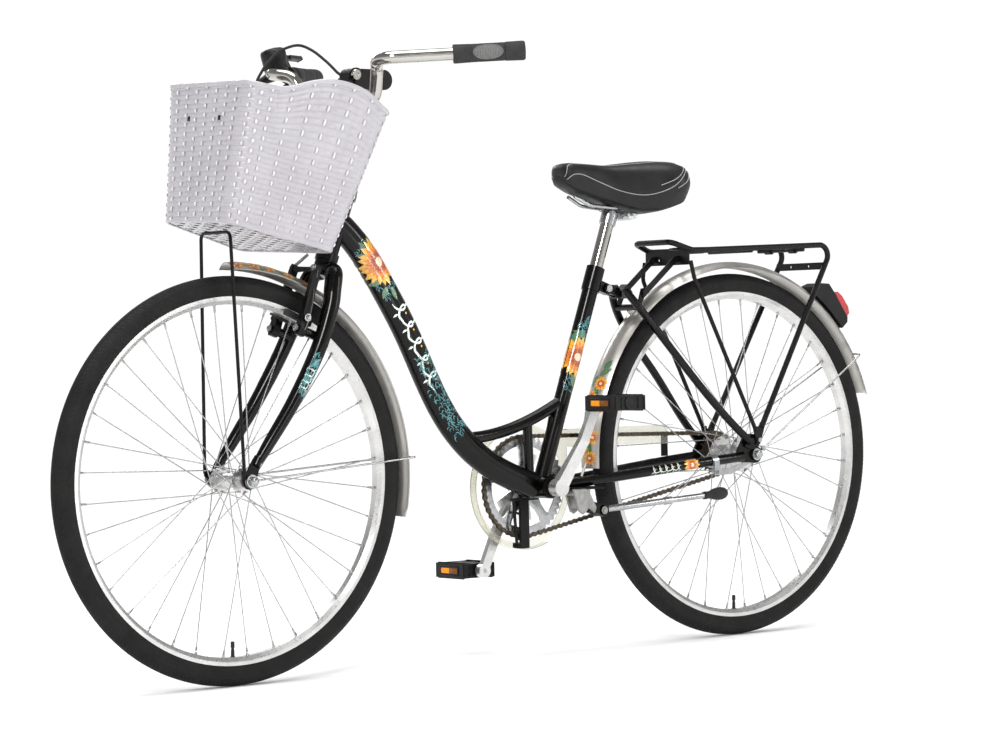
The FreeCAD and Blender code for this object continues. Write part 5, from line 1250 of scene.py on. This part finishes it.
class Decal:
    """Flat shapes drawn in millimetres and laid on a surface that a lay(u, v) function finds."""

    def __init__(self, lay):
        self.lay, self.shape, self.layer = lay, Shape(), 0

    def grid(self, rows, ink):
        """Rows of (u, v) joined into a strip; strips drawn later lie on top."""
        self.shape.slot = ink
        self.layer += 1
        start = len(self.shape.points)
        lift = DECAL_LIFT + self.layer * 0.0022
        found = [[self.lay(u, v, lift) for u, v in row] for row in rows]
        if any(point is None for row in found for point in row):
            return
        self.shape.points += [point for row in found for point in row]
        width = len(rows[0])
        faces = []
        for i in range(len(rows) - 1):
            for j in range(width - 1):
                a = start + i * width + j
                faces.append((a, a + 1, a + width + 1, a + width))
        self.shape.add_faces(faces)

    def petal(self, u, v, turn, inner, length, width, ink, bend=0.0):
        """A pointed oval that starts a little way out from its flower's middle."""
        rows = []
        for i in range(9):
            share = i / 8
            reach = inner + length * share
            half = width / 2 * math.sin(math.pi * min(0.985, max(0.03, share)) ** 0.8)
            angle = math.radians(turn + bend * share)
            along, side = (math.cos(angle), math.sin(angle)), (-math.sin(angle), math.cos(angle))
            rows.append([(u + along[0] * reach + side[0] * half * k,
                          v + along[1] * reach + side[1] * half * k)
                         for k in (-1, -0.33, 0.33, 1)])
        self.grid(rows, ink)

    def disc(self, u, v, radius, ink):
        rows = []
        for i in range(9):
            turn = math.pi * i / 8
            height = radius * math.cos(turn)
            half = radius * max(0.04, math.sin(turn))
            rows.append([(u + half * k, v + height) for k in (-1, -0.33, 0.33, 1)])
        self.grid(rows, ink)

    def stroke(self, points, width, ink):
        line = curve_through([Vector((u, v, 0)) for u, v in points], 4)
        rows = []
        for i, spot in enumerate(line):
            ahead = line[min(i + 1, len(line) - 1)] - line[max(i - 1, 0)]
            side = Vector((-ahead.y, ahead.x, 0)).normalized()
            half = width / 2 * (0.25 + 0.75 * math.sin(math.pi * i / (len(line) - 1)))
            rows.append([(spot.x + side.x * half * k, spot.y + side.y * half * k) for k in (-1, 1)])
        self.grid(rows, ink)

    def flower(self, u, v, radius, petals=17):
        for i in range(petals):
            turn = 360 * i / petals + chance.uniform(-5, 5)
            self.petal(u, v, turn, radius * 0.28, radius * chance.uniform(0.64, 0.76), radius * 0.3, YELLOW)
        for i in range(petals):
            turn = 360 * (i + 0.5) / petals + chance.uniform(-5, 5)
            self.petal(u, v, turn, radius * 0.25, radius * chance.uniform(0.42, 0.55), radius * 0.2, ORANGE)
        for i in range(petals):
            self.petal(u, v, 360 * (i + 0.2) / petals, radius * 0.2, radius * 0.28, radius * 0.12, RUST)
        self.disc(u, v, radius * 0.3, RUST)
        self.disc(u, v, radius * 0.19, CREAM)

    def leaf(self, u, v, turn, length, ink=GREEN):
        """A leaf with side veins in a lighter colour."""
        self.petal(u, v, turn, 0, length, length * 0.42, ink, bend=12)
        for i in range(1, 6):
            share = i / 6.5
            angle = math.radians(turn + 12 * share)
            base = (u + math.cos(angle) * length * share, v + math.sin(angle) * length * share)
            for side in SIDES:
                lean = angle + side * 0.7
                tip = (base[0] + math.cos(lean) * length * 0.2 * (1.2 - share),
                       base[1] + math.sin(lean) * length * 0.2 * (1.2 - share))
                self.stroke([base, ((base[0] + tip[0]) / 2, (base[1] + tip[1]) / 2), tip], length * 0.035,
                            TEAL)

    def curls(self, start, end, half, count):
        """Rows of curved strokes that fill a stretch of tube."""
        for i in range(count):
            u = start + (end - start) * (i + chance.uniform(0.2, 0.8)) / count
            v = chance.uniform(-half, half)
            size = chance.uniform(3.5, 7.0)
            turn = chance.uniform(0, math.pi)
            arc = [(u + size * math.cos(turn + k * 0.8), v + 0.7 * size * math.sin(turn + k * 0.8))
                   for k in range(4)]
            if max(abs(spot[1]) for spot in arc) < half + 2:
                self.stroke(arc, chance.uniform(1.0, 1.7), TEAL)

    def piece(self, name, body, slot):
        return self.shape.piece(name, body, slot, INKS)


def surface_of(thing):
    mesh = thing.data
    return BVHTree.FromPolygons([vertex.co for vertex in mesh.vertices], [p.vertices for p in mesh.polygons])


def tube_layer(surface, line, side, girth=16.0):
    """Lays (u along the line, v up across it) on the side of a tube that faces away from the middle."""
    points = curve_through(line, 24)
    marks = [0.0]
    for a, b in zip(points, points[1:]):
        marks.append(marks[-1] + (b - a).length / MM)

    def lay(u, v, lift):
        u = min(max(u, 0.0), marks[-1] - 0.01)
        i = max(k for k, mark in enumerate(marks) if mark <= u)
        i = min(i, len(points) - 2)
        share = (u - marks[i]) / (marks[i + 1] - marks[i])
        ahead = (points[i + 1] - points[i]).normalized()
        upward = ahead.cross(Y_AXIS)
        upward = (upward if upward.z > 0 or (abs(upward.z) < 0.3 and upward.x > 0) else -upward).normalized()
        turn = max(-1.5, min(1.5, v / girth))
        middle = points[i] + (points[i + 1] - points[i]) * share
        outward = Y_AXIS * (side * math.cos(turn)) + upward * math.sin(turn)
        hit, normal, _, _ = surface.ray_cast(middle + outward * (60 * MM), -outward, 0.06)
        if hit is None:
            return None
        return hit + normal * (lift * MM)

    return lay


def vine(art, start, end, sway, wave):
    """A pale looping tendril with buds and small leaves."""
    turns = (end - start) / wave
    count = int(turns * 14)
    stem = []
    for i in range(count + 1):
        turn = 2 * math.pi * turns * i / count
        reach = start + (end - start) * i / count + sway * 0.9 * math.sin(turn)
        stem.append((reach, -sway * math.cos(turn) * (1.0 if i % 28 < 14 else 0.8)))
    for a in range(0, count - 4, 5):
        art.stroke(stem[max(0, a - 2):a + 8], sway * 0.34, WHITE)
    for i in range(7, count, 14):
        u, v = stem[i]
        art.petal(u, v, 70, 1, sway * 0.9, sway * 0.4, WHITE, bend=25)
        art.petal(u + sway * 0.5, -v * 0.9, 250, 1, sway * 0.8, sway * 0.36, WHITE, bend=25)
        art.disc(u + sway, v * 0.5, sway * 0.16, YELLOW)


def make_tube_decals():
    surface = surface_of(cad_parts["frame"])
    down = [at(258, 0, 760), at(283, 0, 742), at(332, 0, 672), at(376, 0, 600), at(417, 0, 520),
            at(466, 0, 438),
            at(527, 0, 376)]
    seat = [at(719, 0, 427), at(759, 0, 537), at(796, 0, 638)]
    for name, side in (("left", LEFT), ("right", RIGHT)):
        art = Decal(tube_layer(surface, down, side, 22))
        art.curls(14, 130, 24, 130)
        for spot in ((30, -8, 150, 26), (44, -10, 200, 26), (92, -10, 250, 26), (112, 6, -20, 26),
                     (106, -4, 300, 24), (30, 12, 130, 22)):
            art.leaf(*spot)
        art.flower(60, 9, 46, 21)
        vine(art, 138, 312, 12, 34)
        art.curls(250, 420, 19, 210)
        art.piece(f"down_tube_flowers_{name}", "frame", "frame_paint")
        art = Decal(tube_layer(surface, seat, side, 15))
        art.curls(150, 205, 15, 60)
        art.curls(62, 90, 14, 24)
        for spot in ((158, 4, 90, 28), (164, -6, 60, 30), (170, 6, 110, 26), (90, 6, 250, 28),
                     (86, -6, 220, 26), (92, 0, 190, 30)):
            art.leaf(*spot)
        art.flower(126, 0, 40, 21)
        art.piece(f"seat_tube_flowers_{name}", "frame", "frame_paint")
        stay = [at(850, side * 41, 323), at(960, side * 53, 333), at(1110, side * 61.5, 345)]
        art = Decal(tube_layer(surface, stay, side, 9.5))
        vine(art, 52, 122, 5, 14)
        art.leaf(136, 0, 12, 20)
        art.leaf(160, 0, 170, 20)
        art.flower(148, 0, 19, 15)
        art.piece(f"chain_stay_flower_{name}", "frame", "frame_paint")
    for name, side in (("left", LEFT), ("right", RIGHT)):
        surface = surface_of(blades[name])
        line = [at(190, side * 42, 678), at(179, side * 48, 640), at(147, side * 54.5, 570),
                at(94, side * 57, 485), at(44, side * 57, 418)]
        art = Decal(tube_layer(surface, line, side, 12.5))
        art.curls(128, 214, 10, 80)
        for spot in ((136, 0, 10, 26), (190, 3, 160, 26), (208, -3, 200, 24)):
            art.petal(*spot[:3], 0, spot[3], 6, TEAL, bend=14)
        vine(art, 152, 200, 4, 12)
        art.piece(f"fork_leaves_{name}", "steering", "frame_paint")


def guard_layer(surface, axle):
    """Lays (u round the wheel in millimetres, v across) on a mudguard's outside."""

    def lay(u, v, lift):
        outward = radial(u / GUARD_RADIUS)
        start = axle + outward * (420 * MM) + Y_AXIS * (v * MM)
        hit, normal, _, _ = surface.ray_cast(start, -outward, 0.1)
        if hit is None:
            return None
        normal = normal if normal.dot(outward) > 0 else -normal
        return hit + normal * (lift * MM)

    return lay


def along_guard(degrees):
    """Millimetres round a mudguard at an angle."""
    return math.radians(degrees) * GUARD_RADIUS


def make_guard_decals():
    art = Decal(guard_layer(surface_of(front_guard), front_axle))
    for i in range(16):
        degrees = 87 - i * 1.9
        art.leaf(along_guard(degrees), chance.uniform(-15, 15), chance.uniform(130, 250), 24)
    flowers = ((88.5, -13), (86, -4), (83, -14), (78, -12), (72, -14), (66, -10), (87, 10), (80, 9), (70, 8))
    for degrees, right in flowers:
        art.flower(along_guard(degrees), right, 13, 13)
    art.piece("front_mudguard_flowers", "steering", "silver_guard")
    art = Decal(guard_layer(surface_of(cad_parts["rear_mudguard"]), rear_axle))
    for i in range(16):
        degrees = 153 + i * 1.7
        art.leaf(along_guard(degrees), chance.uniform(-16, 16), chance.uniform(150, 215), 26)
    for degrees, right in ((157, -12), (161, 4), (165, -14), (169.5, -4), (173, -15), (176, 6), (179, -11),
                           (171, 12)):
        art.flower(along_guard(degrees), right, 15, 13)
    art.piece("rear_mudguard_flowers", "frame", "silver_guard")


make_tube_decals()
make_guard_decals()

# Camera, light and floor


def make_camera():
    yaw, pitch, roll = math.radians(39.6), math.radians(-0.2), math.radians(-1.2)
    ahead = Vector((math.sin(yaw) * math.cos(pitch), math.cos(yaw) * math.cos(pitch), math.sin(pitch)))
    right = ahead.cross(Z_AXIS).normalized()
    up = right.cross(ahead)
    right, up = right * math.cos(roll) + up * math.sin(roll), up * math.cos(roll) - right * math.sin(roll)
    camera = bpy.data.objects.new("camera", bpy.data.cameras.new("camera"))
    bpy.context.scene.collection.objects.link(camera)
    turn = Matrix((right, up, -ahead)).transposed().to_4x4()
    camera.matrix_world = Matrix.Translation(at(-2956.3, -4490.0, 582.1)) @ turn
    camera.data.sensor_width = 36
    camera.data.lens = 112.7
    camera.data.shift_x, camera.data.shift_y = -0.071, -0.0204
    camera.data.clip_end = 100
    bpy.context.scene.camera = camera


def make_light():
    def lamp(name, place, target, power, width, height):
        data = bpy.data.lights.new(name, "AREA")
        data.shape, data.size, data.size_y, data.energy = "RECTANGLE", width, height, power
        made = bpy.data.objects.new(name, data)
        bpy.context.scene.collection.objects.link(made)
        made.location, made.visible_camera = place, False
        made.rotation_euler = (Vector(target) - Vector(place)).to_track_quat("-Z", "Y").to_euler()

    lamp("key", (-2.4, -2.2, 2.6), (0, 0, 0.6), 60, 0.7, 0.7)
    lamp("fill", (2.4, -2.6, 1.8), (0, 0, 0.5), 22, 0.35, 1.6)
    lamp("rim", (0.5, 3.0, 2.4), (0, 0, 0.6), 30, 1.8, 0.4)
    lamp("side", (0.35, -2.6, 0.6), (-0.5, -0.15, 0.9), 7, 0.3, 1.2)
    overhead = bpy.data.lights.new("overhead", "SUN")
    overhead.energy, overhead.angle = 2.7, math.radians(50)
    bpy.context.scene.collection.objects.link(bpy.data.objects.new("overhead", overhead))
    world = bpy.data.worlds.new("studio")
    bpy.context.scene.world = world
    world.use_nodes = True
    tree = world.node_tree
    coordinates = tree.nodes.new("ShaderNodeTexCoord")
    split = tree.nodes.new("ShaderNodeSeparateXYZ")
    ramp = tree.nodes.new("ShaderNodeValToRGB")
    stops = ((0.0, 1.0), (0.13, 1.0), (0.32, 0.35), (1.0, 0.22))
    elements = ramp.color_ramp.elements
    while len(elements) < len(stops):
        elements.new(0.5)
    for element, (place, grey) in zip(elements, stops):
        element.position, element.color = place, (grey, grey, grey, 1)
    tree.links.new(coordinates.outputs["Generated"], split.inputs["Vector"])
    tree.links.new(split.outputs["Z"], ramp.inputs["Fac"])
    tree.links.new(ramp.outputs["Color"], tree.nodes["Background"].inputs["Color"])
    tree.nodes["Background"].inputs["Strength"].default_value = 1.05


def make_floor():
    floor = Look("floor_paper", Roughness=0.85)
    floor.tones(1.5, 2, (0.3, (0.92, 0.92, 0.92)), (0.7, (0.95, 0.95, 0.95)))
    mesh = bpy.data.meshes.new("floor")
    reach = 60.0
    level = cad_box[0].z - 0.0005
    mesh.from_pydata([(-reach, -reach, level), (reach, -reach, level), (reach, reach, level),
                      (-reach, reach, level)],
                     [], [(0, 1, 2, 3)])
    mesh.materials.append(floor.material)
    made = bpy.data.objects.new("floor", mesh)
    bpy.context.scene.collection.objects.link(made)


make_camera()
make_light()
make_floor()
bpy.context.scene.view_settings.view_transform = "Standard"
